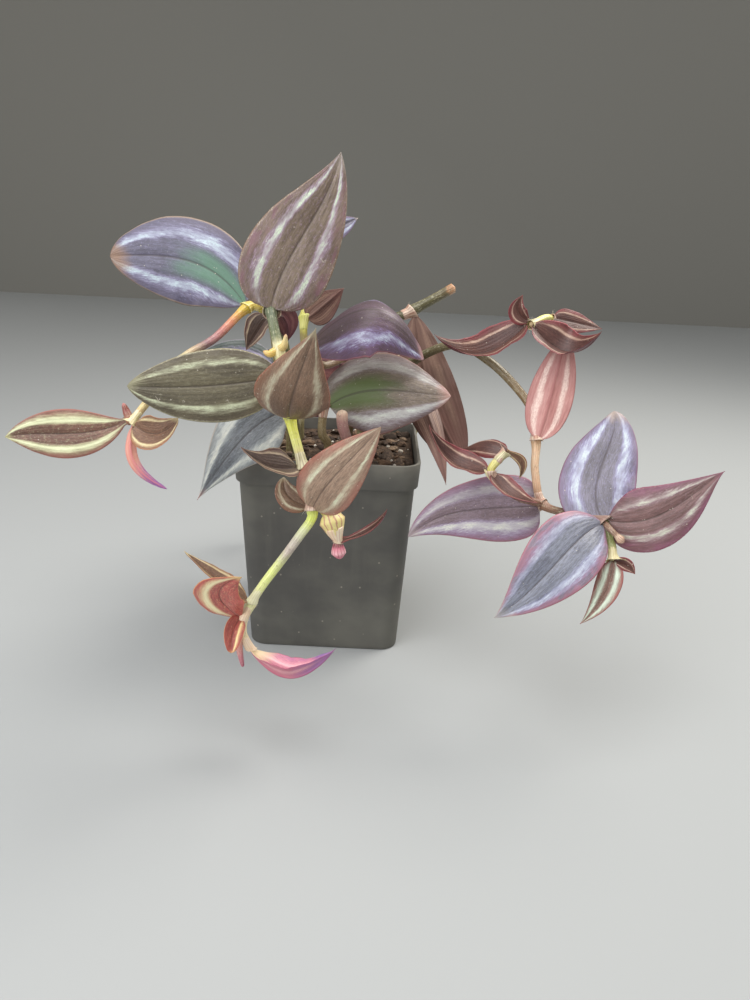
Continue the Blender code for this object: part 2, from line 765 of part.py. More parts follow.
def blade_points(leaf, u, v):
    """Points of a leaf's middle surface: u is 0 at the base and 1 at the tip, and v is -1 to 1 across it.

    The rib is a cubic curve. The half width follows u^round (1 - u)^taper. Across the blade, each half
    starts at the fold angle and bends evenly by the curl angle, so that its section is an arc.
    """
    base, chord, face, side = (np.array(part) for part in leaf_frame(leaf))
    lift = leaf.get("lift", (0.0, 0.0))
    bow = leaf.get("bow", (0.0, 0.0))
    first = base + chord / 3 + face * lift[0] + side * bow[0]
    second = base + chord * 2 / 3 + face * lift[1] + side * bow[1]
    tip = base + chord
    t = u[:, None]
    rib = base * (1 - t) ** 3 + 3 * first * t * (1 - t) ** 2 + 3 * second * t ** 2 * (1 - t) + tip * t ** 3
    run = (first - base) * (1 - t) ** 2 + 2 * (second - first) * t * (1 - t) + (tip - second) * t ** 2
    run /= np.linalg.norm(run, axis=1)[:, None]
    twist = np.radians(leaf.get("twist", 0.0)) * (u - 0.5)
    up = face * np.cos(twist)[:, None] + side * np.sin(twist)[:, None]
    up -= run * (up * run).sum(1)[:, None]
    up /= np.linalg.norm(up, axis=1)[:, None]
    right = np.cross(run, up)
    taper = leaf.get("taper", 1.1)
    broad = leaf.get("round", 0.45)
    widest = broad / (broad + taper)
    peak = widest ** broad * (1 - widest) ** taper
    shape = u ** broad * np.clip(1 - u, 0, 1) ** taper / peak
    floor = LEAF_BASE_HALF + (LEAF_TIP_HALF - LEAF_BASE_HALF) * np.clip(u / 0.3, 0, 1)
    half = np.maximum(shape * leaf["width"] / 2, floor)
    ease = np.clip((1 - u) / 0.12, 0.25, 1) * np.clip(0.35 + 4.5 * u, 0, 1)
    fold = np.radians(leaf["fold"]) * ease
    curl = np.radians(leaf["curl"]) * ease
    curl = np.where(np.abs(curl) < 1e-3, 1e-3, curl)
    reach = np.abs(v)
    across = half * (np.sin(fold + curl * reach) - np.sin(fold)) / curl
    height = half * (np.cos(fold) - np.cos(fold + curl * reach)) / curl
    wave = WAVE_HEIGHT * np.sin(19.0 * u + 2.0 * np.sign(v)) * reach ** 2 * np.minimum(shape, 1)
    return rib + right * (np.sign(v) * across)[:, None] + up * (height + wave)[:, None]


def make_leaf(name, leaf, parts, material):
    shape = bmesh.new()
    bmesh.ops.create_grid(shape, x_segments=LEAF_ROWS, y_segments=LEAF_COLUMNS, size=1.0)
    shape.verts.ensure_lookup_table()
    u = np.array([(vertex.co.x + 1) / 2 for vertex in shape.verts]) ** 1.3
    v = np.array([-vertex.co.y for vertex in shape.verts])
    for vertex, point in zip(shape.verts, blade_points(leaf, u, v)):
        vertex.co = Vector(point) * MM
    bmesh.ops.triangulate(shape, faces=shape.faces, quad_method="FIXED")
    bmesh.ops.reverse_faces(shape, faces=shape.faces)
    mesh = bpy.data.meshes.new(name)
    shape.to_mesh(mesh)
    shape.free()
    mesh.shade_smooth()
    blade = add_object(name, mesh, parts, material)
    solid = blade.modifiers.new("thickness", "SOLIDIFY")
    solid.thickness = LEAF_THICKNESS * MM
    solid.offset = 0.0
    return blade


def main():
    for old in list(bpy.data.objects):
        bpy.data.objects.remove(old)
    parts = bpy.data.collections.new("Potted tradescantia")
    bpy.context.scene.collection.children.link(parts)
    helpers = bpy.data.collections.new("cutters")
    bpy.context.scene.collection.children.link(helpers)
    helpers.hide_render = True
    make_pot(parts, helpers, make_material("black pot plastic", **POT_BLACK))
    make_soil(parts, helpers, make_material("potting bark", **BARK))
    stem_material = make_material("stem", **STEM_GREEN)
    leaf_material = make_material("dark leaf", **LEAF_DARK)
    for name in STEMS:
        make_stem(name, parts, helpers, stem_material)
    for name, leaf in LEAVES.items():
        make_leaf(name, leaf, parts, leaf_material)


main()
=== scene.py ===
import functools
import math

import bpy
import numpy as np
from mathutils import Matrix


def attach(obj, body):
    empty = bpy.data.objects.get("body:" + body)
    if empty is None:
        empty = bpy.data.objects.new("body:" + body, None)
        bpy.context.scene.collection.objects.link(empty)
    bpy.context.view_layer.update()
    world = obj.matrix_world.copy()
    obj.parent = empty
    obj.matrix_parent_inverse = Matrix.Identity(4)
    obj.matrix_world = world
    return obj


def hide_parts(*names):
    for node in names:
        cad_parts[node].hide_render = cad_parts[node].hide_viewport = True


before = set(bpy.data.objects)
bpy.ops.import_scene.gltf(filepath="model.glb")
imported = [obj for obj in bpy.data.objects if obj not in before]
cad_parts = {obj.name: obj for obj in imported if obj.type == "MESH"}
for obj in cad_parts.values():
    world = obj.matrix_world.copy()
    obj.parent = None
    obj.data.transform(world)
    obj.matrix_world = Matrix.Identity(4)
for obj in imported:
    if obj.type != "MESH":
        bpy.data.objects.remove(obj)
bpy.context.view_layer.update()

print("frame loaded")

# Sizes are worked out in millimetres, and a mesh takes them in metres.
mm = 0.001

# The photograph's camera: where it stands, how far it looks down and leans, and its lens in pixels
frontView = {
    "eye": (18.5, -286.0, 158.0),
    "lookDown": 20.0,
    "lean": 2.8,
    "lens": 722.0,
    "middle": (375.0, 500.0),
    "sensor": 36.0,
    "longSide": 1000.0,
    "clip": (0.01, 20.0),
}


def seen(column, row, y):
    # The place that shows at a pixel of the photograph, y mm behind the middle of the pot: the pixel's line
    # of sight from the camera, followed to there.
    lean, down = np.radians((frontView["lean"], frontView["lookDown"]))
    across = column - frontView["middle"][0]
    below = row - frontView["middle"][1]
    levelAcross = (across * math.cos(lean) + below * math.sin(lean)) / frontView["lens"]
    levelBelow = (below * math.cos(lean) - across * math.sin(lean)) / frontView["lens"]
    ray = np.array((
        levelAcross,
        math.cos(down) - levelBelow * math.sin(down),
        -math.sin(down) - levelBelow * math.cos(down),
    ))
    eye = np.array(frontView["eye"])
    return eye + ray * (y - eye[1]) / ray[1]


def spot(x, y, z):
    # A place in mm from the middle of the pot's underside.
    return np.array((x, y, z), float)


# Where the stems stand in the potting mix
bed = {"level": 78.0, "rootDepth": 12.0, "straight": 4.0}


def rooted(x, y):
    # A stem's first points: straight up out of its hole.
    return [spot(x, y, bed["level"] - bed["rootDepth"]), spot(x, y, bed["level"] + bed["straight"])]


def linear(hexColour):
    # An sRGB hex colour as the linear values that a shader takes.
    parts = [int(hexColour[place:place + 2], 16) / 255 for place in (1, 3, 5)]
    return tuple(p / 12.92 if p <= 0.04045 else ((p + 0.055) / 1.055) ** 2.4 for p in parts) + (1.0,)


def addNode(tree, kind, inputs=(), out=0, stops=(), **settings):
    # One shader node: its settings, its inputs as values, as hex colours or as other nodes' outputs, and a
    # ramp's stops. It gives back one of the node's outputs.
    node = tree.nodes.new("ShaderNode" + kind)
    for key, value in settings.items():
        setattr(node, key, value)
    for key, value in inputs.items() if isinstance(inputs, dict) else enumerate(inputs):
        if isinstance(value, bpy.types.NodeSocket):
            tree.links.new(value, node.inputs[key])
        elif isinstance(value, str):
            node.inputs[key].default_value = linear(value)
        else:
            node.inputs[key].default_value = value
    if stops:
        marks = node.color_ramp.elements
        while len(marks) < len(stops):
            marks.new(0.5)
        for mark, (place, colour) in zip(marks, stops):
            mark.position = place
            mark.color = linear(colour)
    return node.outputs[out]


def startMaterial(name, roughness, **sockets):
    # A new material, its shader with its plain values set, and addNode for the material's own tree.
    material = bpy.data.materials.new(name)
    material.use_nodes = True
    shader = material.node_tree.nodes["Principled BSDF"]
    shader.inputs["Roughness"].default_value = roughness
    for key, value in sockets.items():
        shader.inputs[key.replace("_", " ")].default_value = value
    return material, shader, functools.partial(addNode, material.node_tree)


def connect(shader, **sockets):
    # Links nodes' outputs to the shader's inputs.
    for key, output in sockets.items():
        shader.id_data.links.new(output, shader.inputs[key.replace("_", " ")])


# Settings that many nodes share: a Map Range that eases from its first pair of values to its second, a Mix
# that lays one colour (input 7) over another (input 6) by a share (input 0), and three kinds of Math
softStep = {"interpolation_type": "SMOOTHSTEP"}
overlay = {"out": 2, "data_type": "RGBA"}
times, plus, minus = {"operation": "MULTIPLY"}, {"operation": "ADD"}, {"operation": "SUBTRACT"}


def grain(add, source, scale, detail=2.0, rough=0.5):
    # A pattern of noise from 0 to 1, whose grain is about one over scale of the source's units, each way.
    placed = add("Mapping", {"Vector": source, "Scale": scale})
    return add("TexNoise", {
        "Vector": placed, "Scale": 1.0, "Detail": detail, "Roughness": rough,
    }, out="Fac")


def specks(add, source, scale, radius, rareFrom, rareTo):
    # A pattern of round specks: one in the middle of a cell, and only in the cells whose own random number
    # passes rareFrom to rareTo.
    dots = add("TexVoronoi", {"Vector": source, "Scale": scale}, out="Distance", feature="F1")
    lone = add("SeparateColor", [dots.node.outputs["Color"]])
    small = add("MapRange", [dots, radius, radius / 2], **softStep)
    return add("Math", [small, add("MapRange", [lone, rareFrom, rareTo], **softStep)], **times)


def ownPlace(add):
    # The piece's own coordinates: across and along it as shares, millimetres on it, and its own number.
    place = add("Attribute", out="Vector", attribute_name="place")
    span = add("Attribute", out="Vector", attribute_name="span")
    across, along, own = add("SeparateXYZ", [place]).node.outputs
    return across, along, span, own


# Tradescantia leaf, grown: a waxy skin over coloured cells, so a soft sheen over a granular colour.
# ground and ground2 are its dark fields, and stripe and stripe2 the cores and the edges of its two silver
# bands, which lie at a share of the half width and are wide as a share of it too. flush is the colour
# towards the margin, flushOf its strength, flushAt where it starts and flushIn how patchy it is. edge is
# the margin's line, tip the end from tipAt on, patch the middle near the base, and stem a pale stalk.
# side is the half of the blade with the clear band, weak the strength of the other band, even makes both
# less broken, and worn is the strength of scratches and a dry crust.
leafTones = {
    "mature": dict(
        ground="#706051", ground2="#827261", stripe="#d2e6c8", stripe2="#b298b6", flush="#815267",
        flushOf=0.55, flushIn=0.5, edge="#89715f", tip="#aaa095", at=0.5, worn=0.45, wide=0.12,
    ),
    "olive": dict(
        ground="#534c3b", ground2="#67604a", stripe="#c6cdae", stripe2="#99977e", flush="#584c3b",
        flushOf=0.4, edge="#a19a7b", tip="#9b9779", at=0.58, worn=0.4, wide=0.11,
    ),
    "brown": dict(
        ground="#785e4c", ground2="#8d705b", stripe="#d0cfb5", stripe2="#b9a78e", flush="#855941",
        flushOf=0.5, edge="#935843", tip="#aa9f82", at=0.58, worn=0.3, wide=0.125,
    ),
    "rose": dict(
        ground="#9e836f", ground2="#ae927d", stripe="#dde1c4", stripe2="#c8b79e", flush="#a56b5c",
        flushOf=0.75, edge="#a15f4f", tip="#a08671", at=0.55, worn=0.25, wide=0.11,
    ),
    "maroon": dict(
        ground="#53322e", ground2="#643f37", stripe="#caad9a", stripe2="#8a665a", flush="#742e33",
        flushOf=0.9, flushAt=0.74, edge="#993f47", tip="#814740", at=0.62, wide=0.11, even=0.5,
    ),
    "umber": dict(
        ground="#4c3b34", ground2="#5d4a42", stripe="#c2ae93", stripe2="#8b7868", flush="#5e3b37",
        flushOf=0.7, edge="#b29a7f", tip="#7d5146", at=0.7, wide=0.1, even=0.5,
    ),
    # violet, steel, slate, mauve, dusk and steelGreen: their blue-grey grounds and silver-blue bands are
    # partly the leaves' own colour and partly a painted reflection of the pale sky on the upper sides
    "violet": dict(
        ground="#57464a", ground2="#695461", stripe="#c6d0e0", stripe2="#8875a9", flush="#765776",
        flushOf=0.5, edge="#a9707a", tip="#b78d8d", at=0.56, wide=0.16, side=1.0, weak=0.4,
        patch="#57464a", patchWide=0.5, patchOf=0.5,
    ),
    "steel": dict(
        ground="#716d78", ground2="#84808f", stripe="#cedbdd", stripe2="#a5a1cd", flush="#816e8d",
        flushOf=0.6, edge="#956d87", tip="#b6a396", at=0.54, wide=0.18,
    ),
    "slate": dict(
        ground="#70767e", ground2="#8d939b", stripe="#f4f7ee", stripe2="#c0c9cd", flush="#a7aaa7",
        flushOf=0.7, edge="#bfb3a7", tip="#e09e8f", at=0.58, wide=0.24, even=0.5,
    ),
    "mauve": dict(
        ground="#7f6b72", ground2="#917e89", stripe="#e6e9dc", stripe2="#b1a4c6", flush="#90677e",
        flushOf=0.8, edge="#aa6b7b", tip="#aa9b9d", at=0.52, wide=0.25, even=0.5, side=-1.0, weak=0.5,
    ),
    "dusk": dict(
        ground="#6d717f", ground2="#808492", stripe="#bec6d3", stripe2="#9698b9", flush="#956b7d",
        flushOf=0.95, flushAt=0.7, edge="#b06f7c", tip="#c2b8ad", at=0.58, wide=0.15, side=-1.0,
        weak=0.65,
    ),
    "steelGreen": dict(
        ground="#545167", ground2="#69677d", stripe="#c6d9df", stripe2="#9c97ba", flush="#635b70",
        flushOf=0.7, edge="#9e8976", tip="#937256", at=0.54, wide=0.17, tipAt=0.86, patch="#5f9172",
        patchWide=0.42, patchOf=0.7,
    ),
    # teal: its pale lavender tip colour is a painted highlight
    "teal": dict(
        ground="#495653", ground2="#5a6763", stripe="#c9bfdc", stripe2="#9a93b9", flush="#556161",
        flushOf=0.7, edge="#8f8995", tip="#dec6ef", at=0.5, wide=0.12, tipAt=0.8,
    ),
    "green": dict(
        ground="#827568", ground2="#958779", stripe="#eaf0e6", stripe2="#bbb3be", flush="#6f595b",
        flushOf=0.8, flushAt=0.8, edge="#926a63", tip="#d5a69c", at=0.56, wide=0.19, even=0.45,
        side=1.0, weak=0.45, patch="#667b45", patchWide=0.42, patchOf=0.9,
    ),
    "plum": dict(
        ground="#725250", ground2="#836260", stripe="#ced3bf", stripe2="#a78a94", flush="#884c6c",
        flushOf=0.62, edge="#8e4461", tip="#90596c", at=0.5, worn=0.25, wide=0.13,
    ),
    "cream": dict(
        ground="#714e41", ground2="#845f4f", stripe="#e9eec4", stripe2="#dadaae", flush="#8c5b4f",
        flushOf=0.8, edge="#a8675b", tip="#d6d699", at=0.56, wide=0.19, even=0.8,
    ),
    "slim": dict(
        ground="#735240", ground2="#876450", stripe="#eddfb1", stripe2="#c3a97f", flush="#996349",
        flushOf=0.8, edge="#bc8154", tip="#d3c292", at=0.72, wide=0.12, even=0.6,
    ),
    "red": dict(
        ground="#aa514a", ground2="#b86056", stripe="#f4e4a6", stripe2="#e4b888", flush="#a84e48",
        flushOf=0.7, edge="#dc9864", tip="#e2a872", at=0.46, wide=0.2, side=-1.0, even=1.0,
    ),
    "redFan": dict(
        ground="#be5d55", ground2="#ca6e64", stripe="#fbf0c2", stripe2="#f9e2af", flush="#be5c54",
        flushOf=0.7, edge="#dc9a68", tip="#eccb8c", at=0.5, wide=0.2, side=-1.0, even=1.0,
    ),
    "pink": dict(
        ground="#ce7b92", ground2="#d88ba0", stripe="#f2c1c8", stripe2="#e2a1b0", flush="#be7ba1",
        flushOf=0.7, edge="#c76d88", tip="#8367aa", tipAt=0.7, at=0.5, wide=0.17, even=0.6,
        stem="#f3deb6",
    ),
    "mint": dict(
        ground="#7c594e", ground2="#937166", stripe="#dae9d7", stripe2="#bbc9b7", flush="#94524c",
        flushOf=0.9, edge="#944448", tip="#923e44", at=0.44, wide=0.24, even=0.6,
    ),
}


def leafSkin(name, tone):
    # The two silver bands run midway between rib and margin, where air under the skin makes them pale. Each
    # is clearest on the rib's side, and frays out in streaks 0.5 mm wide towards the margin. Clouds of
    # colour are about 5 by 14 mm, patches 2 by 6 mm and a fibre 0.25 by 2.5 mm. A cell is about 0.1 mm
    # wide, too fine to show, so the grain is drawn at 0.5 by 0.9 mm.
    material, shader, add = startMaterial(name, 0.42, Coat_Weight=0.12, Coat_Roughness=0.28)
    across, along, span = ownPlace(add)[:3]
    away = add("Math", [across], operation="ABSOLUTE")
    cloud = grain(add, span, (0.22, 0.07, 1.0))
    patchy = grain(add, span, (0.45, 0.17, 1.0))
    fibre = grain(add, span, (4.0, 0.4, 1.0), 3.0, 0.65)
    cells = grain(add, span, (1.9, 1.1, 1.0), 4.0, 0.85)
    # dark field, with faint lines along the veins and a fine grain
    ground = add("Mix", {
        0: add("MapRange", [cloud, 0.35, 0.65], **softStep), 6: tone["ground"], 7: tone["ground2"],
    }, **overlay)
    ground = add("Mix", {
        0: add("MapRange", [fibre, 0.58, 0.36, 0.0, 0.4], **softStep), 6: ground, 7: "#2f2622",
    }, **overlay)
    ground = add("Mix", {
        0: add("MapRange", [cells, 0.5, 0.68, 0.0, 0.35], **softStep), 6: ground, 7: tone["stripe2"],
    }, **overlay)
    if "patch" in tone:
        within = add("MapRange", [
            away, tone["patchWide"] - 0.25, tone["patchWide"] + 0.05, 1.0, 0.0,
        ], **softStep)
        reach = add("MapRange", [
            add("Math", [along, add("Math", [cloud, 0.5], **times)], **plus), 0.92, 0.6,
        ], **softStep)
        stain = add("Math", [add("Math", [within, reach], **times), tone["patchOf"]], **times)
        ground = add("Mix", {0: stain, 6: ground, 7: tone["patch"]}, **overlay)
    # towards the margin, here more and there less
    outer = add("Math", [away, add("Math", [cloud, 0.45], **times)], **plus)
    dense, start = tone.get("flushIn", 0.36), tone.get("flushAt", 0.82)
    blush = add("Math", [
        add("MapRange", [outer, start, start + 0.32, 0.0, tone["flushOf"]], **softStep),
        add("MapRange", [patchy, dense, dense + 0.16, 0.72 - dense, 1.0], **softStep),
    ], **times)
    ground = add("Mix", {0: blush, 6: ground, 7: tone["flush"]}, **overlay)
    # silver bands: a tinted edge and a pale core, broken by the grain
    wander = add("Math", [add("Math", [cloud, 0.5], **minus), 0.22], **times)
    apart = add("Math", [add("Math", [away, wander], **plus), tone["at"]], **minus)
    off = add("Math", [
        add("Math", [apart, 0.6], **times), add("Math", [apart, -1.25], **times),
    ], operation="MAXIMUM")
    feather = grain(add, span, (2.2, 0.36, 1.0), 4.0, 0.75)
    even = tone.get("even", 0.0)
    ragged = add("Math", [
        add("Math", [feather, 0.5], **minus), tone["wide"] * (2.2 - 1.3 * even),
    ], **times)
    off = add("Math", [off, ragged], **plus)
    strong = add("MapRange", [patchy, 0.3, 0.58, 0.45 + 0.5 * even, 1.0], **softStep)
    strong = add("Math", [strong, add("MapRange", [along, 0.03, 0.17, 0.3, 1.0], **softStep)], **times)
    if "side" in tone:
        one = add("MapRange", [
            add("Math", [across, tone["side"]], **times), -0.04, 0.04, tone.get("weak", 0.0),
        ], **softStep)
        strong = add("Math", [strong, one], **times)
    band = add("Math", [
        add("MapRange", [off, tone["wide"] * 1.25, tone["wide"] * 0.3, 0.0, 0.72], **softStep), strong,
    ], **times)
    core = add("Math", [
        add("MapRange", [off, tone["wide"] * 0.7, tone["wide"] * 0.05, 0.0, 0.95], **softStep), strong,
    ], **times)
    core = add("Math", [
        core, add("MapRange", [cells, 0.38, 0.56, 0.5 + 0.4 * even, 1.0], **softStep),
    ], **times)
    tint = add("Math", [
        add("MapRange", [patchy, 0.62, 0.42], **softStep),
        add("MapRange", [cells, 0.42, 0.66, 0.35 * (1 - even), 0.75 - 0.4 * even], **softStep),
    ], **times)
    silver = add("Mix", {0: tint, 6: tone["stripe"], 7: tone["stripe2"]}, **overlay)
    colour = add("Mix", {0: band, 6: ground, 7: tone["stripe2"]}, **overlay)
    colour = add("Mix", {0: core, 6: colour, 7: silver}, **overlay)
    # rib, margin and tip, and a pale stalk where the leaf has one
    colour = add("Mix", {
        0: add("MapRange", [away, 0.04, 0.01, 0.0, 0.5], **softStep), 6: colour, 7: "#3a2d28",
    }, **overlay)
    colour = add("Mix", {
        0: add("MapRange", [away, 0.94, 0.985, 0.0, 0.85], **softStep), 6: colour, 7: tone["edge"],
    }, **overlay)
    # the tip's colour: on most tones the leaf's own dry end, on teal a painted highlight
    tipAndHighlight = add("Math", [along, add("Math", [add("Math", [cloud, 0.5], **minus), 0.25], **times)], **plus)
    ends = tone.get("tipAt", 0.88)
    colour = add("Mix", {
        0: add("MapRange", [tipAndHighlight, ends, ends + 0.12, 0.0, 0.8], **softStep), 6: colour, 7: tone["tip"],
    }, **overlay)
    if "stem" in tone:
        colour = add("Mix", {
            0: add("MapRange", [along, 0.2, 0.03], **softStep), 6: colour, 7: tone["stem"],
        }, **overlay)
    # wear on the older leaves: short pale scratches, 0.2 mm wide, and a dry crust along the margin
    if "worn" in tone:
        swirl = add("TexNoise", {"Vector": span, "Scale": 0.3, "Detail": 2.0}, out="Color")
        bent = add("VectorMath", {0: swirl, 1: (6.0, 6.0, 0.0), 2: span}, operation="MULTIPLY_ADD")
        cracks = add("TexVoronoi", {
            "Vector": bent, "Scale": 0.17,
        }, out="Distance", feature="DISTANCE_TO_EDGE")
        scratch = add("Math", [
            add("MapRange", [cracks, 0.016, 0.006], **softStep),
            add("MapRange", [grain(add, span, (0.42, 0.3, 1.0)), 0.62, 0.68], **softStep),
        ], **times)
        crust = add("Math", [
            add("MapRange", [away, 0.92, 0.97], **softStep),
            add("MapRange", [cells, 0.52, 0.62], **softStep),
        ], **times)
        wear = add("Math", [add("Math", [scratch, crust], operation="MAXIMUM"), tone["worn"]], **times)
        colour = add("Mix", {0: wear, 6: colour, 7: "#d8d2c0"}, **overlay)
    # dust and short hairs: pale specks about 0.3 mm across
    speck = specks(add, span, 0.6, 0.14, 0.74, 0.8)
    colour = add("Mix", {0: add("Math", [speck, 0.6], **times), 6: colour, 7: "#d9d2c2"}, **overlay)
    connect(shader, Base_Color=colour)
    connect(shader, Roughness=add("MapRange", [core, 0.0, 1.0, 0.46, 0.34], **softStep))
    pleats = add("Math", [add("Math", [away, 42.0], **times)], operation="SINE")
    relief = add("Math", [
        add("Math", [pleats, 0.35], **times), add("Math", [fibre, cells], **plus),
    ], **plus)
    connect(shader, Normal=add("Bump", {"Height": relief, "Strength": 0.5, "Distance": 0.00014}))
    return material


# Tradescantia leaf, underside: the same skin with red pigment below it, so a burgundy or pink wash
# with parallel veins and a paler band where the silver shows through. far is the colour of the tip's half.
underTones = {
    "burgundyUnder": dict(
        ground="#623036", ground2="#744144", band="#8c5c59", line="#49242e", far="#623036", lines=0.4,
    ),
    "pinkUnder": dict(
        ground="#ba827d", ground2="#ca9690", band="#f8e1d6", line="#a16462", far="#b6827e", lines=0.45,
    ),
    "brownUnder": dict(
        ground="#77594e", ground2="#87675b", band="#9e7f6e", line="#60433a", far="#815a51", lines=0.3,
    ),
    "redUnder": dict(
        ground="#ae544c", ground2="#ba645a", band="#ca7a6a", line="#984640", far="#ae544c", lines=0.3,
    ),
    "magentaUnder": dict(
        ground="#cf778a", ground2="#dc8b99", band="#eeb3b9", line="#b7567a", far="#a573aa", lines=0.3,
    ),
    "petalUnder": dict(
        ground="#df9384", ground2="#e4a192", band="#e8ab9a", line="#cb7b7f", far="#9c61a6", lines=0.1,
    ),
}


def leafUnderskin(name, tone):
    # The ground drifts into the tip's colour, the veins, 0.2 mm wide, run along it, and a paler band lies
    # midway between rib and margin. Clouds are 4 by 12 mm and the grain is 0.4 by 0.8 mm.
    material, shader, add = startMaterial(name, 0.5, Coat_Weight=0.05, Coat_Roughness=0.35)
    across, along, span = ownPlace(add)[:3]
    away = add("Math", [across], operation="ABSOLUTE")
    cloud = grain(add, span, (0.25, 0.08, 1.0))
    fibre = grain(add, span, (4.5, 0.35, 1.0), 3.0, 0.6)
    cells = grain(add, span, (2.6, 1.2, 1.0), 3.0, 0.75)
    colour = add("Mix", {
        0: add("MapRange", [cloud, 0.35, 0.65], **softStep), 6: tone["ground"], 7: tone["ground2"],
    }, **overlay)
    drift = add("Math", [along, add("Math", [add("Math", [cloud, 0.5], **minus), 0.5], **times)], **plus)
    colour = add("Mix", {
        0: add("MapRange", [drift, 0.42, 0.82], **softStep), 6: colour, 7: tone["far"],
    }, **overlay)
    colour = add("Mix", {
        0: add("MapRange", [fibre, 0.6, 0.35, 0.0, tone["lines"]], **softStep), 6: colour, 7: tone["line"],
    }, **overlay)
    wander = add("Math", [add("Math", [cloud, 0.5], **minus), 0.3], **times)
    off = add("Math", [
        add("Math", [add("Math", [away, wander], **plus), 0.52], **minus),
    ], operation="ABSOLUTE")
    off = add("Math", [off, add("Math", [add("Math", [fibre, 0.5], **minus), 0.35], **times)], **plus)
    pale = add("Math", [
        add("MapRange", [off, 0.2, 0.04, 0.0, 0.8], **softStep),
        add("MapRange", [along, 0.95, 0.6], **softStep),
    ], **times)
    colour = add("Mix", {
        0: add("Math", [
            pale, add("MapRange", [cells, 0.6, 0.45, 0.6, 1.0], **softStep),
        ], **times),
        6: colour, 7: tone["band"],
    }, **overlay)
    colour = add("Mix", {
        0: add("MapRange", [away, 0.06, 0.02, 0.0, 0.7], **softStep), 6: colour, 7: tone["line"],
    }, **overlay)
    colour = add("Mix", {
        0: add("MapRange", [away, 0.92, 0.99, 0.0, 0.7], **softStep), 6: colour, 7: tone["line"],
    }, **overlay)
    connect(shader, Base_Color=colour)
    pleats = add("Math", [add("Math", [away, 42.0], **times)], operation="SINE")
    relief = add("Math", [add("Math", [pleats, 0.5], **times), fibre], **plus)
    connect(shader, Normal=add("Bump", {"Height": relief, "Strength": 0.5, "Distance": 0.00012}))
    return material


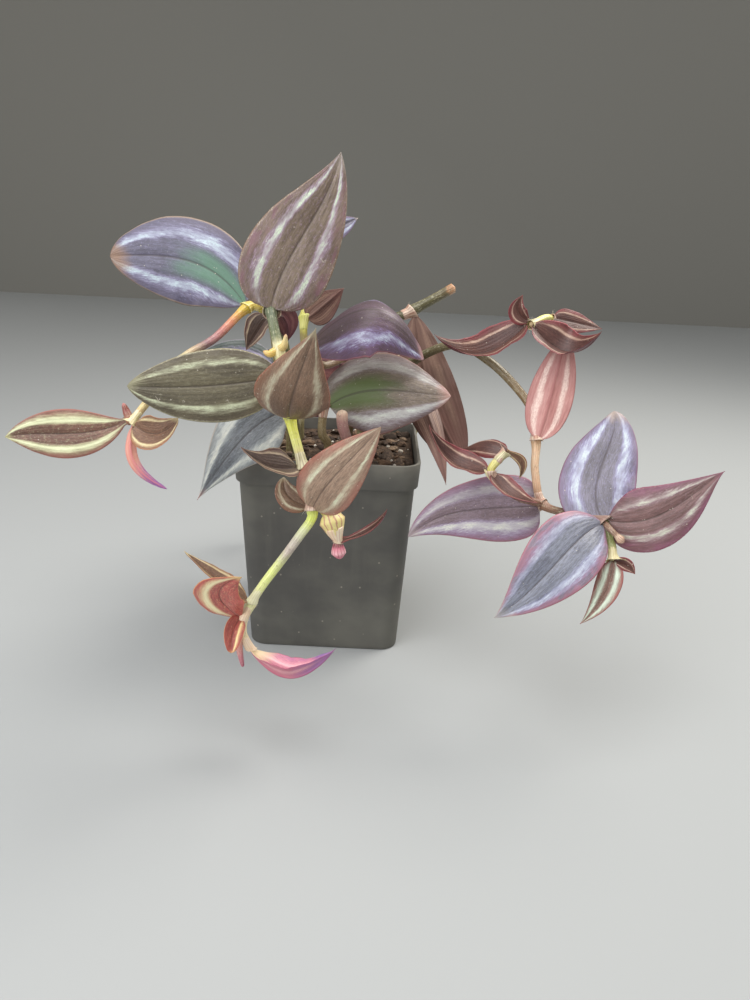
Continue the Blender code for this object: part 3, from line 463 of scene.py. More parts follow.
# Tradescantia stem, fleshy and jointed: smooth and slightly wet-looking, flushed and mottled along its
# cells. stops go from the root to the tip, mottle is how much of it is streaked with the fleck colour,
# and ribs how strongly lines of that colour run along it.
stemTones = {
    "stem_front": dict(
        fleck="#6a4c46", mottle=0.4, ribs=0.15, flakes=0.5, stops=[
            (0.0, "#6a6542"), (0.3, "#75764c"), (0.4, "#565f44"), (0.42, "#4f5c42"), (0.462, "#65704c"),
            (0.477, "#dcd6ac"), (0.492, "#d9cf9a"), (0.52, "#8f9a58"), (0.585, "#c8cc58"),
            (0.605, "#e2e45a"), (0.642, "#eaea8c"), (0.67, "#d8b496"), (0.7, "#b8a884"),
            (0.735, "#d2df62"), (0.757, "#e2ee74"), (0.775, "#e0e8b0"), (0.795, "#cbc4b4"),
            (0.815, "#c2b4aa"), (0.835, "#ccd09a"), (0.86, "#e4f090"), (0.892, "#eff6a8"),
            (0.915, "#f4f7b6"), (0.945, "#f4f2c2"), (0.97, "#f2e4b6"), (1.0, "#f0d0b0"),
        ],
    ),
    "stem_left": dict(
        fleck="#8a4a4e", mottle=0.45, ribs=0.2, stops=[
            (0.0, "#77704c"), (0.45, "#a39656"), (0.55, "#d4c84c"), (0.6, "#e4d244"),
            (0.635, "#e2b058"), (0.67, "#dc8e72"), (0.715, "#b07a7c"), (0.745, "#8c6c6e"),
            (0.79, "#c8b48e"), (0.83, "#d2cea0"), (0.9, "#ccb888"), (0.955, "#e2d094"),
            (1.0, "#d89874"),
        ],
    ),
    "stem_right": dict(
        fleck="#5f4038", mottle=0.35, ribs=0.2, stops=[
            (0.0, "#716a4a"), (0.3, "#665f42"), (0.42, "#706546"), (0.5, "#7f7154"), (0.6, "#866c4a"),
            (0.66, "#c69c72"), (0.7, "#e8c4a2"), (0.75, "#e2b896"), (0.79, "#a4765c"),
            (0.84, "#745846"), (0.9, "#6f5e44"), (0.935, "#848e52"), (0.965, "#939c60"),
            (0.985, "#d3ca90"), (1.0, "#dcd5a2"),
        ],
    ),
    # stem_centre: below 0.655 it is brown and darker, partly its own colour and partly painted shade
    "stem_centre": dict(
        fleck="#7a4a44", mottle=0.4, ribs=0.2, stops=[
            (0.0, "#7a714b"), (0.35, "#8f7a5c"), (0.5, "#93785e"), (0.6, "#8c7c5c"), (0.655, "#a29658"),
            (0.675, "#dedb5e"), (0.7, "#eaea70"), (0.74, "#c8c070"), (0.85, "#9a866a"),
            (1.0, "#847460"),
        ],
    ),
    # stem_low: dark olive-brown along its whole length, partly its own colour and partly painted shade
    "stem_low": dict(
        fleck="#5c4636", mottle=0.4, ribs=0.2, stops=[
            (0.0, "#6b5e44"), (0.6, "#857450"), (1.0, "#927e56"),
        ],
    ),
    "stem_stub": dict(
        fleck="#7c4c50", mottle=0.5, ribs=0.15, stops=[
            (0.0, "#7f6252"), (0.6, "#a0746e"), (0.88, "#b58580"), (0.96, "#e0bca6"), (1.0, "#ead0b8"),
        ],
    ),
    "stem_cut": dict(
        fleck="#38301f", mottle=0.7, ribs=0.3, stops=[
            (0.0, "#5f5840"), (0.7, "#545036"), (0.88, "#615c3a"), (0.955, "#665a3c"),
            (0.966, "#b48660"), (1.0, "#cc9a76"),
        ],
    ),
    "stem_back_left": dict(
        fleck="#5f4038", mottle=0.5, ribs=0.2, stops=[
            (0.0, "#716a4a"), (0.5, "#8a8050"), (1.0, "#9c7c5c"),
        ],
    ),
    "stem_back_right": dict(
        fleck="#5f4038", mottle=0.5, ribs=0.2, stops=[
            (0.0, "#716a4a"), (0.5, "#848050"), (1.0, "#a99c60"),
        ],
    ),
    # funnel: the pale pink stop at 0.88, between darker pinks on the bud, is a painted highlight
    "funnel": dict(
        fleck="#b0606a", mottle=0.35, ribs=0.7, stops=[
            (0.0, "#c8d056"), (0.2, "#c4c662"), (0.3, "#d8cc86"), (0.4, "#e8d890"), (0.55, "#eadc8c"),
            (0.66, "#dcae88"), (0.72, "#7c4048"), (0.77, "#8a4450"), (0.8, "#d87c90"),
            (0.88, "#f0b8c0"), (0.94, "#da748c"), (1.0, "#c05874"),
        ],
    ),
    "yellowTip": dict(
        fleck="#c08c60", mottle=0.25, ribs=0.4, stops=[
            (0.0, "#c9c08a"), (0.45, "#ecd68c"), (0.8, "#f0dfa0"), (1.0, "#d8a880"),
        ],
    ),
    "amberTip": dict(
        fleck="#a8703c", mottle=0.3, ribs=0.4, stops=[
            (0.0, "#c9b87a"), (0.5, "#e8c868"), (0.85, "#e6c070"), (1.0, "#cf9a64"),
        ],
    ),
    "bract": dict(
        fleck="#a04860", mottle=0.4, ribs=0.4, stops=[
            (0.0, "#d8b490"), (0.4, "#dc9c94"), (0.8, "#c87888"), (1.0, "#b06078"),
        ],
    ),
    "horn": dict(
        fleck="#6a3430", mottle=0.5, ribs=0.4, stops=[
            (0.0, "#a87858"), (0.5, "#8c4f46"), (0.85, "#9a5450"), (1.0, "#c8807c"),
        ],
    ),
    "knob": dict(
        fleck="#8a4f44", mottle=0.55, ribs=0.4, stops=[
            (0.0, "#705a4a"), (0.55, "#8f7060"), (0.78, "#dcc0a4"), (1.0, "#c89a8a"),
        ],
    ),
    "branchHigh": dict(
        fleck="#6a4438", mottle=0.35, ribs=0.2, stops=[
            (0.0, "#bd9468"), (0.5, "#9f7a58"), (0.75, "#b0a468"), (0.83, "#e0dc84"), (0.93, "#e8e48c"),
            (1.0, "#c9ac84"),
        ],
    ),
    "branchLow": dict(
        fleck="#5a302c", mottle=0.45, ribs=0.2, stops=[
            (0.0, "#865e4a"), (0.4, "#74493e"), (0.66, "#8a6448"), (0.76, "#dcd478"), (0.9, "#ebe6a0"),
            (1.0, "#d0a078"),
        ],
    ),
}


def stemSkin(name, tone):
    # The ramp's colours from root to tip, and on them streaks of 0.5 by 1.7 mm, pale fibres 0.14 mm wide,
    # dry flakes of 0.6 by 1.1 mm, and the ribs, about thirteen of them.
    material, shader, add = startMaterial(name, 0.4, Coat_Weight=0.15, Coat_Roughness=0.25)
    across, along, span = ownPlace(add)[:3]
    cloud = grain(add, span, (0.5, 0.12, 1.0))
    drift = add("Math", [along, add("Math", [add("Math", [cloud, 0.5], **minus), 0.03], **times)], **plus)
    colour = add("ValToRGB", {"Fac": drift}, stops=tone["stops"])
    streak = grain(add, span, (2.2, 0.6, 1.0), 3.0, 0.65)
    colour = add("Mix", {
        0: add("MapRange", [streak, 0.54, 0.68, 0.0, tone["mottle"]], **softStep), 6: colour,
        7: tone["fleck"],
    }, **overlay)
    fibre = grain(add, span, (7.0, 0.3, 1.0), 2.0)
    colour = add("Mix", {
        0: add("MapRange", [fibre, 0.55, 0.75, 0.0, 0.3], **softStep), 6: colour, 7: "#efe7c4",
    }, **overlay)
    flake = grain(add, span, (1.7, 0.9, 1.0), 4.0, 0.75)
    colour = add("Mix", {
        0: add("MapRange", [flake, 0.53, 0.66, 0.0, tone.get("flakes", 0.35)], **softStep), 6: colour,
        7: "#eceac8",
    }, **overlay)
    waver = add("Math", [
        add("Math", [across, 40.0], **times), add("Math", [cloud, 5.0], **times),
    ], **plus)
    lines = add("Math", [waver], operation="SINE")
    colour = add("Mix", {
        0: add("MapRange", [lines, 0.4, 0.95, 0.0, tone["ribs"]], **softStep), 6: colour, 7: tone["fleck"],
    }, **overlay)
    connect(shader, Base_Color=colour)
    relief = add("Math", [
        add("Math", [fibre, streak], **plus), add("Math", [lines, 0.3], **times),
    ], **plus)
    connect(shader, Normal=add("Bump", {"Height": relief, "Strength": 0.4, "Distance": 0.00015}))
    return material


# Leaf sheath: a thin, papery sleeve round the stem, nearly clear, so the veins show as fine red lines.
sheathTones = {
    "greenSheath": dict(ground="#c3bd90", pale="#e3dcb8", vein="#8a6a58", veins=0.6),
    "roseSheath": dict(ground="#c39a84", pale="#e3cdb8", vein="#8a4f50", veins=0.65),
    "yellowSheath": dict(ground="#dcc765", pale="#efe6a6", vein="#b98a58", veins=0.4),
    "limeSheath": dict(ground="#d3d566", pale="#e4e48e", vein="#a8a04c", veins=0.4),
    "creamSheath": dict(ground="#dfd49a", pale="#ebe2b4", vein="#c09070", veins=0.35),
    "blushSheath": dict(ground="#ecd4b0", pale="#f4e4c8", vein="#cf848a", veins=0.35),
    "paleSheath": dict(ground="#e2e6ac", pale="#f0f0c8", vein="#b8a484", veins=0.3),
    "plumSheath": dict(ground="#8e7268", pale="#a88e80", vein="#6a4448", veins=0.5),
}


def sheathSkin(name, tone):
    # Fourteen fine lines that run along the sleeve and waver, on a ground that pales towards the rim.
    material, shader, add = startMaterial(name, 0.45, Coat_Weight=0.1)
    across, along, span = ownPlace(add)[:3]
    waver = grain(add, span, (0.6, 0.15, 1.0))
    lines = add("Math", [
        add("Math", [
            add("Math", [across, 44.0], **times),
            add("Math", [waver, 7.0], **times),
        ], **plus),
    ], operation="SINE")
    colour = add("Mix", {
        0: add("MapRange", [waver, 0.4, 0.6], **softStep), 6: tone["ground"], 7: tone["pale"],
    }, **overlay)
    colour = add("Mix", {
        0: add("MapRange", [lines, 0.45, 0.95, 0.0, tone["veins"]], **softStep), 6: colour, 7: tone["vein"],
    }, **overlay)
    colour = add("Mix", {
        0: add("MapRange", [along, 0.8, 1.0, 0.0, 0.5], **softStep), 6: colour, 7: tone["pale"],
    }, **overlay)
    connect(shader, Base_Color=colour)
    connect(shader, Normal=add("Bump", {"Height": lines, "Strength": 0.4, "Distance": 0.00008}))
    return material


def hairSkin():
    # Plant hair: single clear cells, so white and a little glossy.
    return startMaterial("plant hair, clear cells", 0.35, Base_Color=linear("#ded8c8"))[0]


# Nursery pot: polypropylene with carbon black, injection moulded, so a dead flat black that greys with
# dust and scuffs. The mould's fine texture is drawn coarser than its 0.1 mm, so that it shows.
potFinish = {"black": "#4d4c49", "worn": "#67665f", "dust": "#949085", "roughness": 0.62}


def potPlastic():
    # Wear in clouds of about 40 mm and in upright runs 6 mm wide, dust on the rim band, loose pale specks
    # of 0.5 to 1 mm, and the mould's texture, drawn 0.6 mm coarse.
    material, shader, add = startMaterial("polypropylene, moulded black", potFinish["roughness"])
    where = add("TexCoord", out="Object")
    cloud = grain(add, where, (22.0, 22.0, 30.0), 4.0, 0.6)
    fine = grain(add, where, (1600.0, 1600.0, 1600.0), 2.0)
    runs = grain(add, where, (160.0, 160.0, 14.0), 3.0, 0.6)
    colour = add("Mix", {
        0: add("MapRange", [cloud, 0.35, 0.7], **softStep), 6: potFinish["black"], 7: potFinish["worn"],
    }, **overlay)
    colour = add("Mix", {
        0: add("MapRange", [runs, 0.5, 0.8, 0.0, 0.35], **softStep), 6: colour, 7: potFinish["worn"],
    }, **overlay)
    height = add("SeparateXYZ", [where], out=2)
    settled = add("Math", [
        add("MapRange", [height, 0.072, 0.081], **softStep),
        add("MapRange", [cloud, 0.4, 0.62], **softStep),
    ], **times)
    colour = add("Mix", {
        0: add("Math", [settled, 0.35], **times), 6: colour, 7: potFinish["dust"],
    }, **overlay)
    speck = specks(add, where, 420.0, 0.2, 0.86, 0.9)
    colour = add("Mix", {0: add("Math", [speck, 0.55], **times), 6: colour, 7: "#a39c8e"}, **overlay)
    connect(shader, Base_Color=colour)
    connect(shader, Roughness=add("MapRange", [cloud, 0.3, 0.7, 0.55, 0.74], **softStep))
    connect(shader, Normal=add("Bump", {"Height": fine, "Strength": 0.35, "Distance": 0.00012}))
    return material


def peatCrumb():
    # Potting mix: composted bark dust, damp, so nearly black brown and quite rough. Its crumbs are about
    # 1 mm, and darker and browner spots about 7 mm.
    material, shader, add = startMaterial("potting mix, damp fines", 0.95)
    where = add("TexCoord", out="Object")
    crumb = grain(add, where, (900.0, 900.0, 900.0), 4.0, 0.7)
    cloud = grain(add, where, (150.0, 150.0, 150.0), 3.0, 0.6)
    colour = add("Mix", {
        0: add("MapRange", [crumb, 0.35, 0.7], **softStep), 6: "#2c221b", 7: "#665243",
    }, **overlay)
    colour = add("Mix", {
        0: add("MapRange", [cloud, 0.45, 0.7, 0.0, 0.6], **softStep), 6: colour, 7: "#6d5643",
    }, **overlay)
    connect(shader, Base_Color=colour)
    connect(shader, Normal=add("Bump", {"Height": crumb, "Strength": 0.9, "Distance": 0.0008}))
    return material


def barkChip():
    # Pine bark, screened: flaky layers of dark and foxy brown, 0.4 mm thick. place holds a chip's own tone.
    material, shader, add = startMaterial("pine bark, screened", 0.88)
    span, tone = ownPlace(add)[2:]
    layers = grain(add, span, (0.35, 2.6, 0.35), 3.0, 0.6)
    fine = grain(add, span, (3.5, 3.5, 3.5), 3.0, 0.6)
    base = add("ValToRGB", {
        "Fac": tone,
    }, stops=[(0.0, "#33271f"), (0.4, "#584436"), (0.75, "#7b604a"), (1.0, "#a08870")])
    colour = add("Mix", {
        0: add("MapRange", [layers, 0.42, 0.62, 0.0, 0.6], **softStep), 6: base, 7: "#2a1f19",
    }, **overlay)
    colour = add("Mix", {
        0: add("MapRange", [fine, 0.58, 0.8, 0.0, 0.5], **softStep), 6: colour, 7: "#a08468",
    }, **overlay)
    connect(shader, Base_Color=colour)
    relief = add("Math", [layers, fine], **plus)
    connect(shader, Normal=add("Bump", {"Height": relief, "Strength": 0.8, "Distance": 0.0005}))
    return material


def perliteGrain():
    # Perlite: popped volcanic glass, a chalky white foam with pits of 0.25 mm, stained here and there.
    material, shader, add = startMaterial("perlite, expanded", 0.85)
    span = ownPlace(add)[2]
    pits = grain(add, span, (4.0, 4.0, 4.0), 3.0, 0.6)
    stain = grain(add, span, (0.6, 0.6, 0.6), 2.0)
    colour = add("Mix", {
        0: add("MapRange", [pits, 0.45, 0.7], **softStep), 6: "#d9d3c6", 7: "#f0ede6",
    }, **overlay)
    colour = add("Mix", {
        0: add("MapRange", [stain, 0.5, 0.7, 0.0, 0.6], **softStep), 6: colour, 7: "#a08c74",
    }, **overlay)
    connect(shader, Base_Color=colour)
    connect(shader, Normal=add("Bump", {"Height": pits, "Strength": 0.8, "Distance": 0.0003}))
    return material


finishes = {}
for name, tone in leafTones.items():
    finishes[name] = leafSkin("leaf, " + name, tone)
for name, tone in underTones.items():
    finishes[name] = leafUnderskin("leaf underside, " + name, tone)
for name, tone in stemTones.items():
    finishes[name] = stemSkin("stem, " + name, tone)
for name, tone in sheathTones.items():
    finishes[name] = sheathSkin("sheath, " + name, tone)
finishes["hair"] = hairSkin()
finishes["pot"] = potPlastic()
finishes["mix"] = peatCrumb()
finishes["bark"] = barkChip()
finishes["perlite"] = perliteGrain()
print("finishes made:", len(finishes))


def unit(vectors):
    # Each vector divided by its own length.
    return vectors / np.maximum(np.linalg.norm(vectors, axis=-1, keepdims=True), 1e-9)


def newMesh(name, points, faces):
    # A mesh from its points in mm and its blocks of faces.
    mesh = bpy.data.meshes.new(name)
    mesh.from_pydata((points * mm).tolist(), [], [face for block in faces for face in block.tolist()])
    return mesh


def intoScene(name, data):
    # A new object in the scene, at its origin.
    thing = bpy.data.objects.new(name, data)
    bpy.context.scene.collection.objects.link(thing)
    return thing


def addPiece(name, points, faces, looks, place=None, span=None, look=None, nodes=()):
    # One piece: its points in mm, its faces, its finishes, and what the frame needs to know of it.
    mesh = newMesh(name, points, faces)
    for key, values in (("place", place), ("span", span)):
        if values is not None:
            mesh.attributes.new(key, "FLOAT_VECTOR", "POINT").data.foreach_set("vector", values.ravel())
    for finish in looks:
        mesh.materials.append(finishes[finish])
    if look is not None:
        mesh.polygons.foreach_set("material_index", look)
    mesh.shade_smooth()
    piece = intoScene(name, mesh)
    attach(piece, "root")
    if nodes:
        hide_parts(*nodes)
    return piece


def ringFaces(rows, around, poles=True):
    # Faces of a grid that closes around. Its two ends close on poles, or onto each other as a ring does.
    index = np.arange(rows * around).reshape(rows, around)
    if not poles:
        index = np.vstack([index, index[:1]])
    low, high = index[:-1], index[1:]
    quads = np.stack([low, np.roll(low, -1, 1), np.roll(high, -1, 1), high], -1).reshape(-1, 4)
    if not poles:
        return [quads]
    start = np.stack([np.roll(index[0], -1), index[0], np.full(around, rows * around)], -1)
    end = np.stack([index[-1], np.roll(index[-1], -1), np.full(around, rows * around + 1)], -1)
    return [quads, start, end]


def withPoles(grid):
    # The grid's points in one list, and then the middle of its first row and of its last.
    return np.vstack([grid.reshape(-1, grid.shape[-1]), grid[0].mean(0), grid[-1].mean(0)])


def outward(points, faces):
    # Turns all faces round if the volume that they enclose comes out negative.
    volume = 0.0
    for block in faces:
        corner = points[block]
        for second in range(1, block.shape[1] - 1):
            cross = np.cross(corner[:, second], corner[:, second + 1])
            volume += (corner[:, 0] * cross).sum()
    return faces if volume > 0 else [block[:, ::-1] for block in faces]


def smoothLine(route, step):
    # A cubic through the route's points, about a step apart: each stretch blends its two ends with its two
    # tangents, and a tangent is half the way between the neighbours. The first stretch arrives straight.
    knots = np.array(route, float)
    ahead = np.diff(knots, axis=0)
    leave = np.vstack([ahead[:1], (ahead[1:] + ahead[:-1]) / 2])
    arrive = np.vstack([ahead[:1], (ahead[2:] + ahead[1:-1]) / 2, ahead[-1:]])
    count = np.maximum(1, np.round(np.linalg.norm(ahead, axis=1) / step)).astype(int)
    marks = np.concatenate([[0], np.cumsum(count)])
    which = np.repeat(np.arange(len(count)), count)
    t = ((np.arange(marks[-1]) - marks[which] + 1) / count[which])[:, None]
    points = (
        knots[which] * (2 * t ** 3 - 3 * t ** 2 + 1) + leave[which] * (t ** 3 - 2 * t ** 2 + t)
        + knots[which + 1] * (3 * t ** 2 - 2 * t ** 3) + arrive[which] * (t ** 3 - t ** 2)
    )
    return np.vstack([knots[:1], points]), marks


def lineFrame(points):
    # Along a line: its arc length, its direction, and two directions across it. These turn about the
    # direction that the line as a whole runs along least, so they never twist.
    arc = np.concatenate([[0], np.cumsum(np.linalg.norm(np.diff(points, axis=0), axis=1))])
    ahead = unit(np.gradient(points, axis=0))
    level = np.linalg.svd(ahead, full_matrices=False)[2][-1]
    right = unit(np.cross(ahead, level))
    return {"points": points, "arc": arc, "ahead": ahead, "right": right, "up": np.cross(right, ahead)}


def alongLine(line, arc):
    # The line's points, direction and sides at given arc lengths.
    pick = lambda rows: np.stack([np.interp(arc, line["arc"], rows[:, axis]) for axis in range(3)], -1)
    return [pick(line["points"])] + [unit(pick(line[key])) for key in ("ahead", "right", "up")]


# The stems: radius in mm at root and tip, the route, and which of its points are joints. A place that
# the photograph shows is given by its pixel there and its distance behind the pot's middle in mm.
stems = {
    "stem_front": {
        "radius": (1.8, 1.3),
        "route": rooted(-13, -14) + [
            spot(-14, -23, 97), spot(-15, -36, 121), seen(271, 311, -52), seen(279, 350, -60),
            seen(284, 377, -64), seen(290, 417, -70), seen(303, 467, -75), seen(312, 508, -79),
            seen(311, 520, -80), seen(301, 534, -81), seen(281, 561, -83), seen(260, 589, -86),
            seen(252, 602, -87), seen(244, 619, -88), seen(243, 633, -88), seen(250, 649, -88),
        ],
        "joints": [2, 4, 5, 7, 8, 9, 14],
    },
    "stem_left": {
        "radius": (1.7, 1.2),
        "route": rooted(-17, -4) + [
            spot(-20, -13, 108), spot(-21, -25, 127), seen(262, 309, -36), seen(247, 308, -38),
            seen(215, 338, -46), seen(180, 361, -54), seen(145, 405, -61), seen(131, 423, -64),
        ],
        "joints": [2, 5, 7, 9],
    },
    "stem_right": {
        "radius": (1.9, 1.25),
        "route": rooted(13, -4) + [
            spot(16, -3, 92), spot(27, -3, 110), seen(452, 345, -10), seen(490, 362, -18),
            seen(528, 403, -28), seen(536, 440, -36), seen(535, 472, -41), seen(543, 504, -46),
            seen(572, 514, -54), seen(603, 523, -61), seen(611, 545, -66), seen(613, 561, -71),
        ],
        "joints": [3, 7, 9, 11, 12],
    },
    "stem_centre": {
        "radius": (1.7, 1.1),
        "route": rooted(6, -2) + [
            spot(11, -8, 100), seen(352, 359, -9), seen(323, 365, -21), seen(306, 346, -27),
            seen(304, 318, -24), seen(310, 288, -14), seen(326, 234, -2),
        ],
        "joints": [5, 6, 8],
    },
    "stem_low": {
        "radius": (1.8, 1.5), "route": rooted(0, -22) + [seen(322, 432, -24), seen(324, 405, -23)],
        "joints": [3],
    },
    "stem_stub": {
        "radius": (1.8, 2.1), "route": rooted(8, -26) + [seen(343, 426, -31), seen(342, 410, -32)],
        "joints": [],
    },
    "stem_cut": {
        "radius": (1.9, 1.9),
        "route": rooted(14, 11) + [
            spot(17, 11, 92), spot(23, 8, 110), seen(390, 325, 5), seen(412, 311, 8), seen(455, 287, 10),
        ],
        "joints": [5],
    },
    "stem_back_left": {
        "radius": (1.8, 1.2),
        "route": rooted(-15, 14) + [
            spot(-14, 27, 98), spot(-14, 42, 105), spot(-18, 55, 93), spot(-26, 62, 70), spot(-30, 66, 48),
        ],
        "joints": [2, 3, 4, 5],
    },
    "stem_back_right": {
        "radius": (1.8, 1.2),
        "route": rooted(11, 21) + [
            spot(17, 31, 97), spot(26, 43, 106), spot(34, 56, 97), spot(38, 65, 78), spot(35, 70, 56),
        ],
        "joints": [2, 3, 4, 5],
    },
}

# The side shoots: the point of the stem's route that one starts from, its radii along its own route, and
# that route. The first radius belongs to that first point.
shoots = {
    "stem_front": [
        {
            "from": 9, "radii": (1.2, 1.4, 2.4, 4.1, 2.6, 1.1, 1.8, 2.5, 1.3),
            "route": [
                seen(320, 508, -78), seen(328, 512, -78.5), seen(332, 521, -79.5), seen(335, 532, -80),
                seen(337, 541, -80), seen(338, 546, -80), seen(339, 553, -80), seen(340, 559, -80),
            ],
        },
        {"from": 5, "radii": (1.5, 1.2, 0.4), "route": [seen(284, 346, -62), seen(286, 334, -63)]},
        {"from": 5, "radii": (1.5, 1.2, 0.5), "route": [seen(270, 354, -62), seen(263, 351, -62)]},
        {
            "from": 16, "radii": (1.3, 1.2, 1.0, 0.5),
            "route": [seen(239, 640, -89), seen(240, 653, -89), seen(243, 667, -89)],
        },
    ],
    "stem_left": [
        {"from": 9, "radii": (1.3, 1.3, 0.6), "route": [seen(127, 413, -62), seen(123, 403, -62)]},
    ],
    "stem_right": [
        {
            "from": 7, "radii": (1.5, 1.4, 1.3, 1.25, 1.3),
            "route": [seen(553, 395, -24), seen(563, 350, -14), seen(551, 319, -17), seen(530, 325, -26)],
        },
        {
            "from": 9, "radii": (1.4, 1.35, 1.3, 1.3, 1.5, 0.9),
            "route": [
                seen(522, 499, -49), seen(503, 487, -50), seen(491, 472, -50), seen(498, 460, -49),
                seen(506, 452, -48),
            ],
        },
        {
            "from": 11, "radii": (1.5, 1.0, 0.9, 1.5, 0.8),
            "route": [seen(611, 530, -66), seen(616, 535, -67), seen(621, 540, -68), seen(624, 543, -68.5)],
        },
    ],
}

# step is the fine line's step in mm and coarse that of the plain model's line, from which the leaves
# start. joint is how much a joint swells, over jointRise mm before it and jointReach mm past it. ribs is
# how far the ribs stand out and the last three how long the rounded ends are, as shares of the radius.
stemShape = {
    "step": 0.7, "shootStep": 0.5, "coarse": 4.5, "around": 22, "shootAround": 20, "ribs": 0.035,
    "joint": 1.28, "jointRise": 1.1, "jointReach": 2.6, "cutEnd": 0.12, "roundEnd": 0.9, "shootEnd": 1.4,
}


def swollen(arc, joints, radius):
    # An even taper, with a bulge at each joint that rises quickly and dies away over the next few mm.
    share = arc / arc[-1]
    taper = radius[0] + (radius[1] - radius[0]) * share
    past = arc[:, None] - joints[None, :]
    bulge = np.exp(-(past / np.where(past < 0, stemShape["jointRise"], stemShape["jointReach"])) ** 2)
    return taper * (1 + (stemShape["joint"] - 1) * bulge.max(1, initial=0.0))


def stemLine(name):
    # A stem's fine line, with its radius at each point and the arc lengths of its route's points.
    plan = stems[name]
    points, marks = smoothLine(plan["route"], stemShape["step"])
    line = lineFrame(points)
    line["marks"] = line["arc"][marks]
    line["radius"] = swollen(line["arc"], line["marks"][plan["joints"]], plan["radius"])
    coarse, coarseMarks = smoothLine(plan["route"], stemShape["coarse"])
    return line, coarse, coarseMarks


def shootLine(name, number):
    # A side shoot's line, the same way, with its radius running evenly between its given radii.
    shoot = shoots[name][number]
    route = [stems[name]["route"][shoot["from"]]] + shoot["route"]
    points, marks = smoothLine(route, stemShape["shootStep"])
    line = lineFrame(points)
    line["marks"] = line["arc"][marks]
    line["radius"] = np.interp(line["arc"], line["marks"], shoot["radii"])
    coarse, coarseMarks = smoothLine(route, stemShape["coarse"])
    return line, coarse, coarseMarks


def roundLine(right, up, turn):
    # The directions straight out from each point of a line, one for each angle of turn.
    return right[:, None] * np.cos(turn)[None, :, None] + up[:, None] * np.sin(turn)[None, :, None]


def tubePoints(line, around, blunt, seed):
    # A tube along the line: a circle at each point, with shallow ribs, whose radius falls to nothing over
    # the last part as a quarter of an ellipse does.
    turn = np.linspace(0, 2 * np.pi, around, endpoint=False)
    left = (line["arc"][-1] - line["arc"]) / (blunt * line["radius"])
    close = np.sqrt(np.clip(1 - np.clip(1 - left, 0, 1) ** 2, 0.02, 1))
    # five ribs, which wind slowly round the stem
    ribs = 1 + stemShape["ribs"] * np.sin(5 * turn[None, :] + seed + 0.25 * line["arc"][:, None])
    reach = (line["radius"] * close)[:, None] * ribs
    spread = roundLine(line["right"], line["up"], turn)
    grid = line["points"][:, None] + spread * reach[..., None]
    share = np.broadcast_to((line["arc"] / line["arc"][-1])[:, None], reach.shape)
    swing = np.broadcast_to(turn / np.pi - 1, reach.shape)
    place = np.stack([swing, share, np.full(reach.shape, seed)], -1)
    span = np.stack([np.abs(swing) * np.pi * line["radius"][:, None], share * line["arc"][-1],
                     np.full(reach.shape, seed * 13.0)], -1)
    return grid, place, span


def addTube(name, line, look, nodes, blunt, around, seed):
    # A stem or a shoot as one closed tube.
    grid, place, span = tubePoints(line, around, blunt, seed)
    points = withPoles(grid)
    faces = outward(points, ringFaces(len(grid), around))
    return addPiece(name, points, faces, [look], withPoles(place), withPoles(span), nodes=nodes)


shootLooks = {
    "stem_front_shoot_1": "funnel", "stem_front_shoot_2": "yellowTip", "stem_front_shoot_3": "amberTip",
    "stem_front_shoot_4": "bract", "stem_left_shoot_1": "horn", "stem_right_shoot_1": "branchHigh",
    "stem_right_shoot_2": "branchLow", "stem_right_shoot_3": "knob",
}
stemLines = {}
for number, name in enumerate(stems):
    stemLines[name] = stemLine(name)
    blunt = stemShape["cutEnd"] if name == "stem_cut" else stemShape["roundEnd"]
    addTube(name + "_skin", stemLines[name][0], name, [name], blunt, stemShape["around"], number * 1.7)
    for index in range(len(shoots.get(name, []))):
        stemLines[name, index] = shootLine(name, index)
        part = "%s_shoot_%d" % (name, index + 1)
        addTube(part, stemLines[name, index][0], shootLooks[part], (), stemShape["shootEnd"],
                stemShape["shootAround"], number + index * 2.3)
print("stems made")


